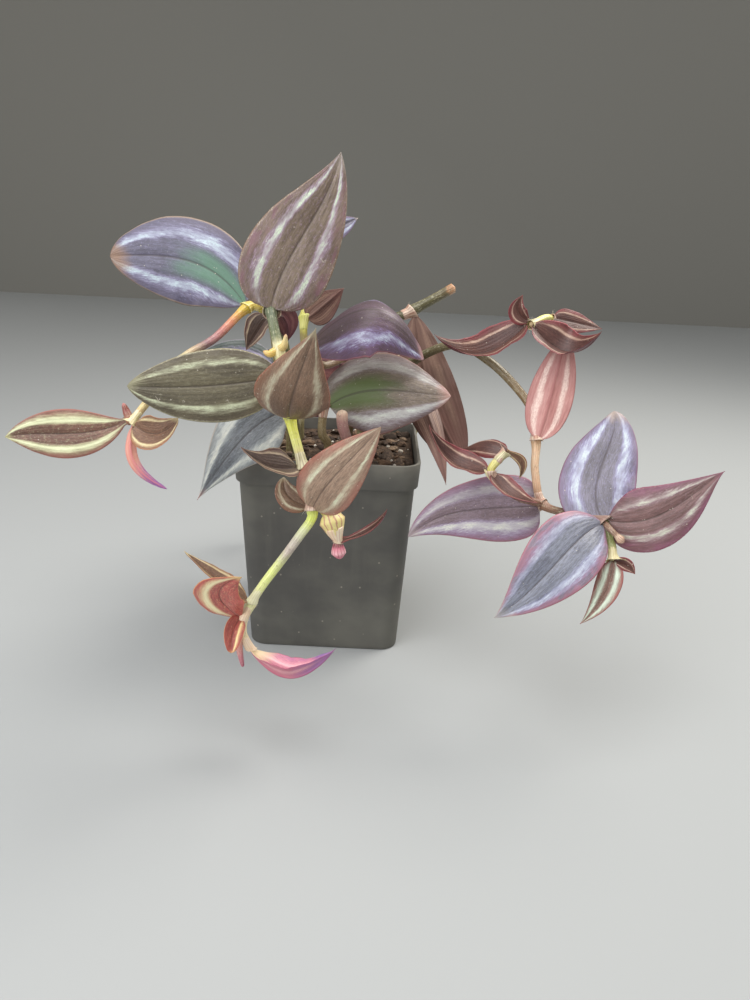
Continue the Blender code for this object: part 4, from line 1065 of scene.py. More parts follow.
# The leaves. joint is the point of the stem's or the shoot's route that one grows from, tip where it ends
# and width its width in mm. tone and under name its two finishes. face turns it about its own length,
# fold raises each half from the rib and curl bends the halves, in degrees. lift and bow move the rib's
# two inner handles off its chord, towards the face and sideways in mm. round and taper shape the base and
# the tip, out is the way that the base leaves the stem, and clear its distance from it in mm.
leaves = {
    "leaf_front_1": dict(
        tone="mature", stem="stem_front", joint=4, tip=seen(341, 152, -42), width=28, face=-2, fold=10,
        curl=-20, lift=(1, 0), bow=(-4, 4.2), taper=1, round=0.38, out=spot(0.1, -1, 0.4), clear=0.5,
    ),
    "leaf_front_2": dict(
        tone="olive", stem="stem_front", joint=6, tip=seen(127, 386, -74), width=22.6, face=6, fold=6,
        curl=-22, bow=(-1.6, -2), round=0.51, taper=0.75,
    ),
    "leaf_front_3": dict(
        tone="brown", stem="stem_front", joint=7, tip=seen(316, 328, -88), width=23.4, face=3, fold=8,
        curl=-40, lift=(7, 4), bow=(-2.2, -0.5), round=0.5, taper=1.25, out=spot(0, -1, 0), clear=0.2,
    ),
    "leaf_front_4": dict(
        tone="umber", stem="stem_front", joint=8, tip=seen(241, 447, -86), width=12.6, face=52, fold=36,
        curl=-15, round=0.8, taper=1.15, bow=(-3.2, -7), clear=0.2,
    ),
    "leaf_front_5": dict(
        tone="rose", stem="stem_front", joint=9, tip=seen(381, 427, -94), width=17.9, face=0, fold=8,
        curl=-26, lift=(4, 2), bow=(-2.5, -0.2), round=0.36, taper=0.92, out=spot(0.2, -1, 0.3), clear=0.2,
    ),
    "leaf_front_6": dict(
        tone="brown", stem="stem_front", joint=9, tip=seen(284, 477, -75), width=9, face=20, fold=25,
        curl=-30, bow=(-3, -4), round=0.6, taper=0.8, out=spot(-1, 0.8, 0), clear=0.3,
    ),
    "leaf_front_7": dict(
        tone="slim", stem="stem_front", joint=14, tip=seen(184, 551, -90), width=10, face=60, fold=20,
        curl=0, bow=(-2, -2),
    ),
    "leaf_front_8": dict(
        tone="redFan", under="redUnder", stem="stem_front", joint=15, tip=seen(242, 577, -100), width=16,
        face=-10, fold=15, curl=-20, bow=(-9, -8), round=0.7, out=spot(-1, 0.2, 0.3), clear=0.2,
    ),
    "leaf_front_9": dict(
        tone="red", under="redUnder", stem="stem_front", joint=15, tip=seen(231, 653, -98), width=6.5,
        face=-8, fold=20, curl=0, bow=(1.5, 0.5), round=0.3, taper=0.5, out=spot(-1, -1, 0.8), clear=0.4,
    ),
    "leaf_front_10": dict(
        tone="pink", under="magentaUnder", stem="stem_front", joint="end", tip=seen(336, 648, -93),
        width=15, face=-75, fold=45, curl=-10, lift=(-15, -9), round=0.65, clear=0.5,
    ),
    "leaf_front_11": dict(
        tone="umber", stem="stem_front", joint=4, tip=seen(246, 350, -50), width=10, face=30, fold=35,
        curl=0,
    ),
    "leaf_front_12": dict(
        tone="brown", stem="stem_front", joint=4, tip=seen(287, 342, -48), width=9, face=180, fold=20,
        curl=0, bow=(3, 1), out=spot(1, 0.5, -0.3), clear=0.3,
    ),
    "leaf_front_13": dict(
        tone="slate", stem="stem_front", joint=2, tip=seen(197, 500, -54), width=24.5, face=-15, fold=8,
        curl=-25, lift=(8, 5), bow=(9.8, 4.8), round=0.6, taper=1.4,
    ),
    "leaf_bud": dict(
        tone="maroon", stem="stem_front", shoot=0, joint=5, tip=seen(387, 509, -84), width=3.5, face=-40,
        fold=40, curl=0, lift=(-5, -5), round=0.9, clear=0.2,
    ),
    "leaf_left_1": dict(
        tone="steelGreen", stem="stem_left", joint=5, tip=seen(110, 256, -32), width=29, face=4, fold=6,
        curl=-26, bow=(12.5, 6.1), round=0.55, taper=0.64,
    ),
    "leaf_left_2": dict(
        tone="cream", stem="stem_left", joint=9, tip=seen(5, 437, -68), width=15.7, face=0, fold=14,
        curl=-20, bow=(-5.6, 0.6), round=0.95, taper=0.96, clear=0.8,
    ),
    "leaf_left_3": dict(
        tone="slim", stem="stem_left", joint=9, tip=seen(178, 418, -68), width=12, face=-15, fold=22,
        curl=5, bow=(5, 5), round=0.5, taper=0.8,
    ),
    "leaf_left_4": dict(
        tone="pink", under="petalUnder", stem="stem_left", joint=9, tip=seen(167, 489, -70), width=4.6,
        face=180, fold=40, curl=0, bow=(-8.4, -5.8), round=0.38, taper=0.74,
    ),
    "leaf_left_5": dict(
        tone="teal", stem="stem_left", joint=2, tip=seen(190, 362, -32), width=18, face=10, fold=8,
        curl=-25, bow=(4, 4), clear=0.3,
    ),
    "leaf_centre_1": dict(
        tone="violet", stem="stem_centre", joint=5, tip=seen(424, 359, -24), width=33, face=-45, fold=-12,
        curl=-42, lift=(26, 27), taper=0.7,
    ),
    "leaf_centre_2": dict(
        tone="brown", under="brownUnder", stem="stem_centre", joint=6, tip=seen(344, 288, -22), width=11,
        face=180, fold=10, curl=-15, out=spot(1, -0.6, 0), clear=0.2,
    ),
    "leaf_centre_3": dict(
        tone="steel", stem="stem_centre", joint="end", tip=seen(358, 218, 4), width=8, face=0, fold=15,
        curl=-15, clear=0.6,
    ),
    "leaf_low": dict(
        tone="green", stem="stem_low", joint=3, tip=seen(451, 396, -28), width=33.8, face=-12, fold=-4,
        curl=-34, lift=(5, 6), bow=(-7.7, -0.8), round=0.47, taper=0.85,
    ),
    "leaf_cut": dict(
        tone="brown", under="brownUnder", stem="stem_cut", joint=5, tip=seen(463, 460, -12), width=22,
        face=180, fold=12, curl=-20, bow=(-5, -6), round=0.7, taper=0.6, out=spot(0.5, -0.6, -0.6),
        clear=0.4,
    ),
    "leaf_right_1": dict(
        tone="brown", under="brownUnder", stem="stem_right", joint=3, tip=seen(446, 485, -34), width=11,
        face=165, fold=20, curl=0, bow=(4, 3),
    ),
    "leaf_right_2": dict(
        tone="rose", under="pinkUnder", stem="stem_right", joint=7, tip=seen(568, 332, -24), width=16,
        face=180, fold=14, curl=-18, round=0.5, taper=0.85, out=spot(0.3, -1, 0.5), clear=0.4,
    ),
    "leaf_right_3": dict(
        tone="mauve", stem="stem_right", joint=9, tip=seen(408, 537, -44), width=24.5, face=5, fold=6,
        curl=-22, bow=(2.4, 9.1), round=0.28, taper=0.84, out=spot(-0.6, 0.8, -0.8), clear=0.2,
    ),
    "leaf_right_4": dict(
        tone="steel", stem="stem_right", joint=11, tip=seen(614, 411, -36), width=25.5, face=0, fold=8,
        curl=-22, bow=(-7.3, 4), round=0.3, taper=0.7, out=spot(-0.4, 0.8, 1), clear=1.3,
    ),
    "leaf_right_5": dict(
        tone="plum", stem="stem_right", joint=11, tip=seen(725, 471, -72), width=21.4, face=0, fold=8,
        curl=-22, bow=(9.4, 2.5), round=0.48, taper=1.27, out=spot(1, -0.2, 0.7), clear=0.8,
    ),
    "leaf_right_6": dict(
        tone="dusk", stem="stem_right", joint=11, tip=seen(494, 618, -88), width=22.8, face=0, fold=10,
        curl=-14, taper=1.12, lift=(11, 4), bow=(3.7, -3.4), round=0.7, out=spot(-0.4, -1, 0.2), clear=0.7,
    ),
    "leaf_right_7": dict(
        tone="mint", stem="stem_right", joint="end", tip=seen(580, 624, -85), width=8.4, face=0, fold=16,
        curl=-15, bow=(-3, -3), out=spot(-0.5, -1, -0.5), clear=0.9,
    ),
    "leaf_right_8": dict(
        tone="maroon", under="redUnder", stem="stem_right", joint="end", tip=seen(635, 574, -75), width=5,
        face=0, fold=30, curl=0, round=0.7, out=spot(1, 0.1, 0.35), clear=2.9,
    ),
    "leaf_upper_1": dict(
        tone="maroon", stem="stem_right", shoot=0, joint=4, tip=seen(434, 334, -32), width=16, face=50,
        fold=28, curl=10, lift=(-15, -13), bow=(-1, -1),
    ),
    "leaf_upper_2": dict(
        tone="maroon", stem="stem_right", shoot=0, joint=4, tip=seen(523, 295, -26), width=7.5, face=-10,
        fold=25, curl=0, bow=(-4, -3), round=0.6, out=spot(-0.6, 0.3, 1), clear=0.2,
    ),
    "leaf_upper_3": dict(
        tone="maroon", stem="stem_right", shoot=0, joint=4, tip=seen(602, 331, -42), width=17, face=-50,
        fold=28, curl=10, lift=(-15, -12), out=spot(0.6, -1, 0),
    ),
    "leaf_upper_4": dict(
        tone="maroon", stem="stem_right", shoot=0, joint=3, tip=seen(602, 329, -14), width=9, face=-30,
        fold=10, curl=-10,
    ),
    "leaf_lower_1": dict(
        tone="maroon", stem="stem_right", shoot=1, joint=3, tip=seen(429, 425, -42), width=12, face=40,
        fold=30, curl=10, lift=(-10, -9),
    ),
    "leaf_lower_2": dict(
        tone="maroon", stem="stem_right", shoot=1, joint=3, tip=seen(538, 503, -64), width=10, face=-50,
        fold=28, curl=0, lift=(-5, -3), out=spot(0.2, -1, -0.4), clear=0.4,
    ),
    "leaf_lower_3": dict(
        tone="maroon", stem="stem_right", shoot=1, joint="end", tip=seen(462, 450, -34), width=9, face=40,
        fold=-10, curl=-30, lift=(5, 2), out=spot(-0.3, 1, 0.6), clear=1.2,
    ),
    "leaf_lower_4": dict(
        tone="slim", stem="stem_right", shoot=1, joint="end", tip=seen(519, 479, -46), width=3.6, face=0,
        fold=20, curl=0, bow=(-5, -4), round=0.7, clear=0.7,
    ),
    "leaf_back_1": dict(
        tone="mature", stem="stem_back_left", joint=2, tip=spot(-44, 34, 106), width=20, face=180, fold=10,
        curl=-20,
    ),
    "leaf_back_2": dict(
        tone="violet", stem="stem_back_left", joint=3, tip=spot(10, 76, 96), width=22, face=180, fold=10,
        curl=-20,
    ),
    "leaf_back_3": dict(
        tone="steel", stem="stem_back_left", joint=4, tip=spot(-52, 60, 86), width=20, face=180, fold=10,
        curl=-20,
    ),
    "leaf_back_4": dict(
        tone="plum", stem="stem_back_left", joint=5, tip=spot(-2, 88, 52), width=18, face=180, fold=10,
        curl=-20, round=0.7, out=spot(1, 0.4, 0.2), clear=0.4,
    ),
    "leaf_back_5": dict(
        tone="rose", stem="stem_back_left", joint="end", tip=spot(-42, 74, 14), width=14, face=180, fold=20,
        curl=-10,
    ),
    "leaf_back_6": dict(
        tone="olive", stem="stem_back_right", joint=3, tip=spot(30, 80, 112), width=20, face=180, fold=10,
        curl=-20, out=spot(0, 0.6, 1), clear=0.3,
    ),
    "leaf_back_7": dict(
        tone="dusk", stem="stem_back_right", joint=4, tip=spot(12, 88, 82), width=20, face=180, fold=10,
        curl=-20, out=spot(-1, 0.4, 0.3), clear=0.3,
    ),
    "leaf_back_8": dict(
        tone="brown", stem="stem_back_right", joint="end", tip=spot(20, 88, 14), width=17, face=180,
        fold=20, curl=-10,
    ),
}


def growingPoint(leaf):
    # The place on a stem's line that a leaf grows from, the way the stem runs there, and its radius.
    key = (leaf["stem"], leaf["shoot"]) if "shoot" in leaf else leaf["stem"]
    line, coarse, marks = stemLines[key]
    atEnd = leaf["joint"] == "end"
    index = len(coarse) - 1 if atEnd else marks[leaf["joint"]]
    ahead = unit(coarse[min(index + 1, len(coarse) - 1)] - coarse[max(index - 1, 0)])
    arc = line["arc"][-1] if atEnd else line["marks"][leaf["joint"]]
    return line, coarse[index], ahead, arc, float(np.interp(arc, line["arc"], line["radius"])), atEnd


# In mm: the blade's thickness, the groove's depth and half width, the gap to the stem, the least half
# widths at base and tip, the margin's waves, and the length of a row of faces. across is a share.
leafShape = {
    "thick": 0.34, "groove": 0.2, "grooveWide": 0.5, "gap": 0.45, "baseHalf": 1.3, "tipHalf": 0.1,
    "wave": 0.35, "ripple": 0.16, "rowEvery": 0.95, "fewestRows": 18, "mostRows": 54, "fullWave": 22,
    "across": (0, 0.025, 0.06, 0.11, 0.17, 0.24, 0.32, 0.4, 0.48, 0.56, 0.64, 0.72, 0.8, 0.87, 0.93,
               0.975, 1),
}


def turnAbout(vector, axis, degrees):
    # The vector turned about a unit axis.
    angle = math.radians(degrees)
    return (
        vector * math.cos(angle) + np.cross(axis, vector) * math.sin(angle)
        + axis * (axis @ vector) * (1 - math.cos(angle))
    )


def leafFrame(leaf):
    # A leaf's base on its stem, the way to its tip, its face, and the way that its base leaves the stem.
    line, place, ahead, arc, radius, atEnd = growingPoint(leaf)
    out = np.array(leaf.get("out", leaf["tip"] - place), float)
    if not atEnd and "out" not in leaf:
        out = out - ahead * (out @ ahead)
    out = unit(out)
    skin = 0.0 if atEnd else radiusAtJoint(leaf, radius)
    base = place + out * (skin + leafShape["gap"] + leaf.get("clear", 0.0))
    chord = leaf["tip"] - base
    run = unit(chord)
    toEye = np.array(frontView["eye"]) - (base + leaf["tip"]) / 2
    face = turnAbout(unit(toEye - run * (run @ toEye)), run, leaf["face"])
    return line, arc, radius, out, base, chord, face, np.cross(run, face)


def radiusAtJoint(leaf, radius):
    # The stem's radius where the leaf starts, as the plain model has it: thickest at a joint.
    if "shoot" in leaf:
        return radius
    plan = stems[leaf["stem"]]
    coarse, marks = stemLines[leaf["stem"]][1:]
    share = marks[leaf["joint"]] / (len(coarse) - 1)
    plain = plan["radius"][0] + (plan["radius"][1] - plan["radius"][0]) * share
    return plain * (stemShape["joint"] if leaf["joint"] in plan["joints"] else 1.0)


def bladePoints(leaf, u, v, seed):
    # The blade's middle surface: u runs from 0 at the base to 1 at the tip, and v from -1 to 1 across.
    # The rib is a cubic. The half width follows u^round (1 - u)^taper. Each half starts at the fold angle
    # and bends evenly by the curl angle, so its section is an arc. The margin waves slightly.
    out, base, chord, face, side = leafFrame(leaf)[3:]
    lift = leaf.get("lift", (0.0, 0.0))
    bow = leaf.get("bow", (0.0, 0.0))
    first = base + chord / 3 + face * lift[0] + side * bow[0]
    second = base + chord * 2 / 3 + face * lift[1] + side * bow[1]
    tip = base + chord
    root = base - out * (leafShape["gap"] + leaf.get("clear", 0.0) - 0.1)
    t = u[:, None]
    rib = root * (1 - t) ** 3 + 3 * first * t * (1 - t) ** 2 + 3 * second * t ** 2 * (1 - t) + tip * t ** 3
    run = unit((first - root) * (1 - t) ** 2 + 2 * (second - first) * t * (1 - t) + (tip - second) * t ** 2)
    up = unit(face - run * (face * run).sum(1)[:, None])
    right = np.cross(run, up)
    taper = leaf.get("taper", 1.1)
    broad = leaf.get("round", 0.45)
    widest = broad / (broad + taper)
    peak = widest ** broad * (1 - widest) ** taper
    shape = u ** broad * (1 - u) ** taper / peak
    # the least half width narrows over the first third, and fold and curl ease off at the two ends
    floor = leafShape["baseHalf"] + (leafShape["tipHalf"] - leafShape["baseHalf"]) * np.clip(u / 0.3, 0, 1)
    half = np.maximum(shape * leaf["width"] / 2, floor)
    ease = np.clip((1 - u) / 0.12, 0.25, 1) * np.clip(0.35 + 4.5 * u, 0, 1)
    fold = (np.radians(leaf["fold"]) * ease)[:, None]
    curl = (np.radians(leaf["curl"]) * ease)[:, None]
    curl = np.where(np.abs(curl) < 1e-3, 1e-3, curl)
    reach, sign = np.abs(v)[None, :], np.sign(v)[None, :]
    half = half[:, None]
    across = half * (np.sin(fold + curl * reach) - np.sin(fold)) / curl
    height = half * (np.cos(fold) - np.cos(fold + curl * reach)) / curl
    soft = np.minimum(shape, 1)[:, None] * min(1.0, leaf["width"] / leafShape["fullWave"])
    # three long waves along the margin, and some seven short ones
    height = height + leafShape["wave"] * np.sin(19 * u[:, None] + 2 * sign) * reach ** 2 * soft
    height = height + leafShape["ripple"] * np.sin(47 * u[:, None] + 3 * sign + seed) * reach ** 4 * soft
    middle = rib[:, None] + right[:, None] * (sign * across)[..., None] + up[:, None] * height[..., None]
    return middle, up, half * np.ones_like(reach)


def addLeaf(name, leaf, seed):
    # A leaf as one closed skin: over its upper side from margin to margin, and back under it. The blade is
    # thin at its margins, with a groove along the rib above and a keel below.
    stops = np.array(leafShape["across"])
    upper = np.concatenate([stops[::-1], -stops[1:]])
    length = np.linalg.norm(leafFrame(leaf)[5])
    rows = int(np.clip(length / leafShape["rowEvery"], leafShape["fewestRows"], leafShape["mostRows"]))
    # rows lie closer at the base and at the tip
    even = np.linspace(0, 1, rows)
    u = 0.45 * even + 0.55 * (0.5 - 0.5 * np.cos(np.pi * even))
    u = np.clip(u, 0.0, 0.9995)
    middle, up, half = bladePoints(leaf, u, upper, seed)
    normal = np.cross(np.gradient(middle, axis=0), np.gradient(middle, axis=1))
    size = np.linalg.norm(normal, axis=-1, keepdims=True)
    flip = np.sign((normal * up[:, None]).sum(-1, keepdims=True).mean())
    normal = np.where(size > 1e-6, flip * normal / np.maximum(size, 1e-9), up[:, None])
    # thinner over the last twentieth, and towards the margins
    taper = np.clip((1 - u) / 0.05, 0.25, 1)[:, None]
    thin = leafShape["thick"] / 2 * np.sqrt(1 - np.abs(upper) ** 5)[None, :] * taper
    groove = leafShape["groove"] * np.exp(-(upper[None, :] * half / leafShape["grooveWide"]) ** 2) * taper
    groove = groove * np.clip(half / 3, 0, 1)
    top = middle + normal * (thin - groove)[..., None]
    under = middle - normal * (thin + 1.6 * groove)[..., None]
    grid = np.concatenate([top, under[:, -2:0:-1]], 1)
    both = np.concatenate([upper, upper[-2:0:-1]])
    around = len(both)
    place = np.stack(np.broadcast_arrays(both[None, :], u[:, None], seed), -1)
    wide = np.concatenate([half * upper[None, :], (half * upper[None, :])[:, -2:0:-1]], 1)
    span = np.stack(np.broadcast_arrays(wide, (u * length)[:, None], seed * 17.0), -1)
    points = withPoles(grid)
    faces = ringFaces(rows, around)
    topside = np.concatenate([
        np.tile(np.arange(around) < len(upper) - 1, rows - 1),
        np.arange(around) < len(upper) - 1,
        np.arange(around) < len(upper) - 1,
    ])
    look = np.where(topside, 0, 1).astype(np.int32)
    return addPiece(
        name + "_blade", points, outward(points, faces), [leaf["tone"], leaf.get("under", "burgundyUnder")],
        withPoles(place), withPoles(span), look, [name],
    )


# A leaf's base wraps its stem in a short sleeve, fringed with hairs. A young one fits its stem closely.
sheathShape = {"length": 4.6, "loose": 0.16, "flare": 0.3, "wall": 0.14, "rows": 12, "around": 26}
youngSheath = {"loose": 0.06, "flare": 0.03}
hairShape = {
    "thick": 0.045, "length": 1.5, "youngLength": 0.4, "perLeaf": 9,
    "along": (0.0, 0.35, 0.7, 1.0), "taper": (1.0, 0.8, 0.55, 0.12), "around": 3,
}


def sheathPoints(leaf, seed, fit):
    # A sleeve round the stem: t runs along it from its foot to its rim, out and back inside. Its radius
    # is the stem's and a little more, widening to the rim, and reaching out to the leaf on its own side.
    line, arc, radius, out = leafFrame(leaf)[:4]
    length = min(sheathShape["length"], 0.8 * arc)
    t = np.linspace(0, 1, sheathShape["rows"])
    there = np.clip(arc - length * (1 - t) + 0.3 * t, 0, line["arc"][-1])
    centre, ahead, right, up = alongLine(line, there)
    stemRadius = np.interp(there, line["arc"], line["radius"])[:, None]
    turn = np.linspace(0, 2 * np.pi, sheathShape["around"], endpoint=False)
    toLeaf = math.atan2(out @ up[-1], out @ right[-1])
    # a slightly wavy fit, tight at its foot and flared at its rim
    near = np.clip(np.cos(turn - toLeaf), 0, 1)[None, :] ** 3
    loose = fit["loose"] * (1 + 0.2 * np.sin(3 * turn + seed))[None, :]
    foot = np.clip(t * 6, 0, 1)[:, None]
    reach = stemRadius + foot * loose + fit["flare"] * t[:, None] ** 2 * (1 + 0.4 * np.sin(2 * turn + seed))
    reach = reach + (leafShape["gap"] + leaf.get("clear", 0.0)) * near * t[:, None] ** 3
    slope = 0.5 * np.cos(turn - toLeaf)[None, :] * t[:, None] ** 2
    spread = roundLine(right, up, turn)
    lean = ahead[:, None] * slope[..., None]
    outer = centre[:, None] + spread * reach[..., None] + lean
    wall = min(sheathShape["wall"], 2 * fit["loose"])
    inner = centre[:, None] + spread * (reach - wall)[..., None] + lean
    grid = np.concatenate([outer, inner[::-1]])
    both = np.concatenate([t, t[::-1]])
    swing = turn / np.pi - 1
    place = np.stack(np.broadcast_arrays(swing[None, :], both[:, None], seed), -1)
    girth = np.abs(swing)[None, :] * np.pi * radius
    span = np.stack(np.broadcast_arrays(girth, both[:, None] * length, seed * 7), -1)
    rim = (outer[-1], unit(outer[-1] - outer[-2] + spread[-1] * 0.35))
    return grid, place, span, rim


def hairGrid(roots, ways, lengths, bends):
    # Hairs: on each root, rings of a few points that shrink to a tip, along a line that bends as it goes.
    t = np.array(hairShape["along"])
    turn = np.arange(hairShape["around"]) * 2 * np.pi / hairShape["around"]
    level = unit(np.cross(ways, np.array((0.3, 0.5, 0.8))))
    other = np.cross(ways, level)
    line = roots[:, None] + ways[:, None] * (t[None, :] * lengths[:, None])[..., None]
    line = line + bends[:, None] * (t[None, :] ** 2 * lengths[:, None])[..., None]
    ring = roundLine(level, other, turn)
    thick = hairShape["thick"] * np.array(hairShape["taper"])
    return line[:, :, None] + ring[:, None] * thick[None, :, None, None]


def manyFaces(count, rows, around):
    # The faces of many closed tubes, one after the other, each with its poles after its own points.
    start = np.arange(count)[:, None, None] * (rows * around + 2)
    return [(block[None] + start).reshape(-1, block.shape[1]) for block in ringFaces(rows, around)]


def manyPoints(grids):
    # The points of many tubes in the order that manyFaces expects.
    count = len(grids)
    flat = grids.reshape(count, -1, 3)
    return np.concatenate([flat, grids[:, :1].mean(2), grids[:, -1:].mean(2)], 1).reshape(-1, 3)


dice = np.random.default_rng(41)
sheathOf = {
    "leaf_front_1": "greenSheath", "leaf_front_2": "creamSheath", "leaf_front_3": "limeSheath",
    "leaf_front_5": "roseSheath", "leaf_left_1": "yellowSheath", "leaf_centre_1": "limeSheath",
    "leaf_centre_2": "limeSheath", "leaf_upper_3": "creamSheath", "leaf_lower_1": "creamSheath",
    "leaf_low": "roseSheath", "leaf_right_4": "plumSheath", "leaf_right_5": "plumSheath",
    "leaf_right_6": "plumSheath",
}
youngOf = {
    "leaf_front_7": "paleSheath", "leaf_front_8": "paleSheath", "leaf_front_9": "blushSheath",
    "leaf_front_10": "blushSheath", "leaf_left_2": "creamSheath", "leaf_left_3": "creamSheath",
    "leaf_left_4": "blushSheath", "leaf_right_8": "creamSheath", "leaf_right_7": "creamSheath",
    "leaf_bud": "blushSheath",
}
tufts = []
for number, (name, leaf) in enumerate(leaves.items()):
    seed = 0.37 * number + 0.2
    addLeaf(name, leaf, seed)
    grid, place, span, rim = sheathPoints(leaf, seed, youngSheath if name in youngOf else sheathShape)
    points = grid.reshape(-1, 3)
    faces = outward(points, ringFaces(len(grid), sheathShape["around"], poles=False))
    look = youngOf.get(name) or sheathOf.get(name, "roseSheath" if number % 3 else "greenSheath")
    addPiece(name + "_sheath", points, faces, [look], place.reshape(-1, 3), span.reshape(-1, 3))
    pick = dice.integers(0, sheathShape["around"], hairShape["perLeaf"])
    ways = unit(rim[1][pick] + dice.normal(0, 0.25, (len(pick), 3)))
    share = hairShape["youngLength"] if name in youngOf else 1.0
    lengths = hairShape["length"] * dice.uniform(0.5, 1.0, len(pick)) * share
    tufts.append(hairGrid(rim[0][pick], ways, lengths, dice.normal(0, 0.3, (len(pick), 3))))
tufts = np.concatenate(tufts)
hairPoints = manyPoints(tufts)
hairFaces = manyFaces(len(tufts), len(hairShape["along"]), hairShape["around"])
addPiece("sheath_hairs", hairPoints, outward(hairPoints, hairFaces), ["hair"])
print("leaves made:", len(leaves))


# The pot: 7 cm square and tapered, with a rim band; sizes as in the plain model
potShape = {
    "width": 70.0, "height": 80.0, "bodyTop": 66.5, "base": 60.0, "rim": 10.0, "wall": 1.2, "floor": 1.6,
    "corner": 7.0, "inCorner": 5.8, "rimCorner": 8.0, "drainRadius": 3.5, "drainOffset": 14.0,
    "drainSteps": 40, "drainPast": 3.0, "edge": 0.35, "arcSteps": 12, "sharpFrom": 40.0,
}


def bodyWidth(height):
    # The body's width at a height: it runs straight from the base to the foot of the rim band.
    share = height / (potShape["height"] - potShape["rim"])
    return potShape["base"] + (potShape["bodyTop"] - potShape["base"]) * share


def roundedSquare(halves, corners, heights):
    # A rounded square for each row: quarter circles of the row's corner radius about centres that lie
    # half minus corner out, joined by straight sides with a point near each of their ends and one midway.
    arc = np.linspace(0, np.pi / 2, potShape["arcSteps"])
    quarter = np.arange(4)[:, None] * np.pi / 2
    angle = (quarter + arc[None, :]).ravel()
    middle = (quarter + np.pi / 4).ravel().repeat(len(arc))
    halves, corners = halves[:, None], corners[:, None]
    x = (halves - corners) * np.sign(np.cos(middle)) + corners * np.cos(angle)
    y = (halves - corners) * np.sign(np.sin(middle)) + corners * np.sin(angle)
    x = x.reshape(len(x), 4, -1)
    y = y.reshape(len(y), 4, -1)
    side = np.array([0.02, 0.25, 0.5, 0.75, 0.98])
    nextX, nextY = np.roll(x, -1, 1)[:, :, :1], np.roll(y, -1, 1)[:, :, :1]
    sideX = x[:, :, -1:] + (nextX - x[:, :, -1:]) * side
    sideY = y[:, :, -1:] + (nextY - y[:, :, -1:]) * side
    x = np.concatenate([x, sideX], 2).reshape(len(x), -1)
    y = np.concatenate([y, sideY], 2).reshape(len(y), -1)
    return np.stack([x, y, np.broadcast_to(heights[:, None], x.shape)], -1)


def potProfile():
    # The pot's section from the middle of its underside, out and up its side, over the rim and down inside
    # to the middle of its floor, as rows of half width, corner radius and height. Each edge is eased.
    s = potShape
    shoulder, top, e = s["height"] - s["rim"], s["height"], s["edge"]
    corner, inCorner, rimCorner = s["corner"], s["inCorner"], s["rimCorner"]
    outer = lambda z: bodyWidth(z) / 2
    inner = lambda z: bodyWidth(z) / 2 - s["wall"]
    rimOut, rimIn, lip = s["width"] / 2, s["width"] / 2 - s["wall"], shoulder + s["wall"]
    rows = [
        (2.0, 1.0, 0.0), (16.0, 3.0, 0.0), (outer(0) - 2.2, corner - 1.0, 0.0),
        (outer(0) - 1.2 * e, corner - 0.3, 0.0), (outer(0) - 0.35 * e, corner - 0.1, 0.35 * e),
        (outer(0), corner, 1.2 * e), (outer(2), corner, 2.0),
    ]
    rows += [(outer(z), corner, z) for z in np.linspace(8, shoulder - 3, 9)]
    rows += [
        (outer(shoulder) - 0.02, corner, shoulder - 0.5), (outer(shoulder) + 0.1, corner + 0.1, shoulder),
        (rimOut - 0.5 - 1.2 * e, rimCorner - 0.3, shoulder),
        (rimOut - 0.5 - 0.3 * e, rimCorner - 0.05, shoulder + 0.3 * e),
        (rimOut - 0.5, rimCorner, shoulder + 1.2 * e), (rimOut - 0.35, rimCorner, shoulder + 3),
        (rimOut - 0.12, rimCorner, shoulder + 7), (rimOut - 0.02, rimCorner, top - 1.4 * e),
        (rimOut - 0.35 * e, rimCorner - 0.1, top - 0.35 * e), (rimOut - 1.2 * e, rimCorner - 0.4, top),
        (rimIn + 1.0 * e, corner + 0.2, top), (rimIn + 0.3 * e, corner + 0.1, top - 0.3 * e),
        (rimIn, corner, top - 1.2 * e), (rimIn - 0.4, corner, lip + 1.2),
        (rimIn - 0.6, corner - 0.1, lip + 0.2), (inner(shoulder) + 0.4, inCorner + 0.2, lip),
        (inner(shoulder) + 0.05, inCorner + 0.05, lip - 0.3), (inner(shoulder), inCorner, shoulder),
    ]
    rows += [(inner(z), inCorner, z) for z in (50.0, 30.0, 10.0, 3.0)]
    rows += [
        (inner(s["floor"]), inCorner, s["floor"] + 0.3),
        (inner(s["floor"]) - 0.4, inCorner - 0.2, s["floor"]),
        (16.0, 3.0, s["floor"]), (2.0, 1.0, s["floor"]),
    ]
    return np.array(rows)


def cutWith(piece, cutters):
    # Cuts the cutters out of the piece, and removes them.
    tools = bpy.data.collections.new("drain cutters")
    bpy.context.scene.collection.children.link(tools)
    for cutter in cutters:
        tools.objects.link(cutter)
    cut = piece.modifiers.new("drains", "BOOLEAN")
    cut.operation = "DIFFERENCE"
    cut.operand_type = "COLLECTION"
    cut.collection = tools
    cut.solver = "EXACT"
    bpy.context.view_layer.update()
    done = bpy.data.meshes.new_from_object(piece.evaluated_get(bpy.context.evaluated_depsgraph_get()))
    piece.modifiers.clear()
    piece.data = done
    for cutter in cutters:
        bpy.data.objects.remove(cutter)
    bpy.data.collections.remove(tools)


def drainCutter(x, y):
    # A short upright cylinder through the pot's floor.
    turn = np.linspace(0, 2 * np.pi, potShape["drainSteps"], endpoint=False)
    heights = np.array([-potShape["drainPast"], potShape["floor"] + potShape["drainPast"]])
    radius = potShape["drainRadius"]
    ring = np.stack([x + radius * np.cos(turn), y + radius * np.sin(turn)], -1)
    grid = np.stack([np.column_stack([ring, np.full(len(ring), z)]) for z in heights])
    points = withPoles(grid)
    mesh = newMesh("drain cutter", points, outward(points, ringFaces(2, len(turn))))
    return bpy.data.objects.new("drain cutter", mesh)


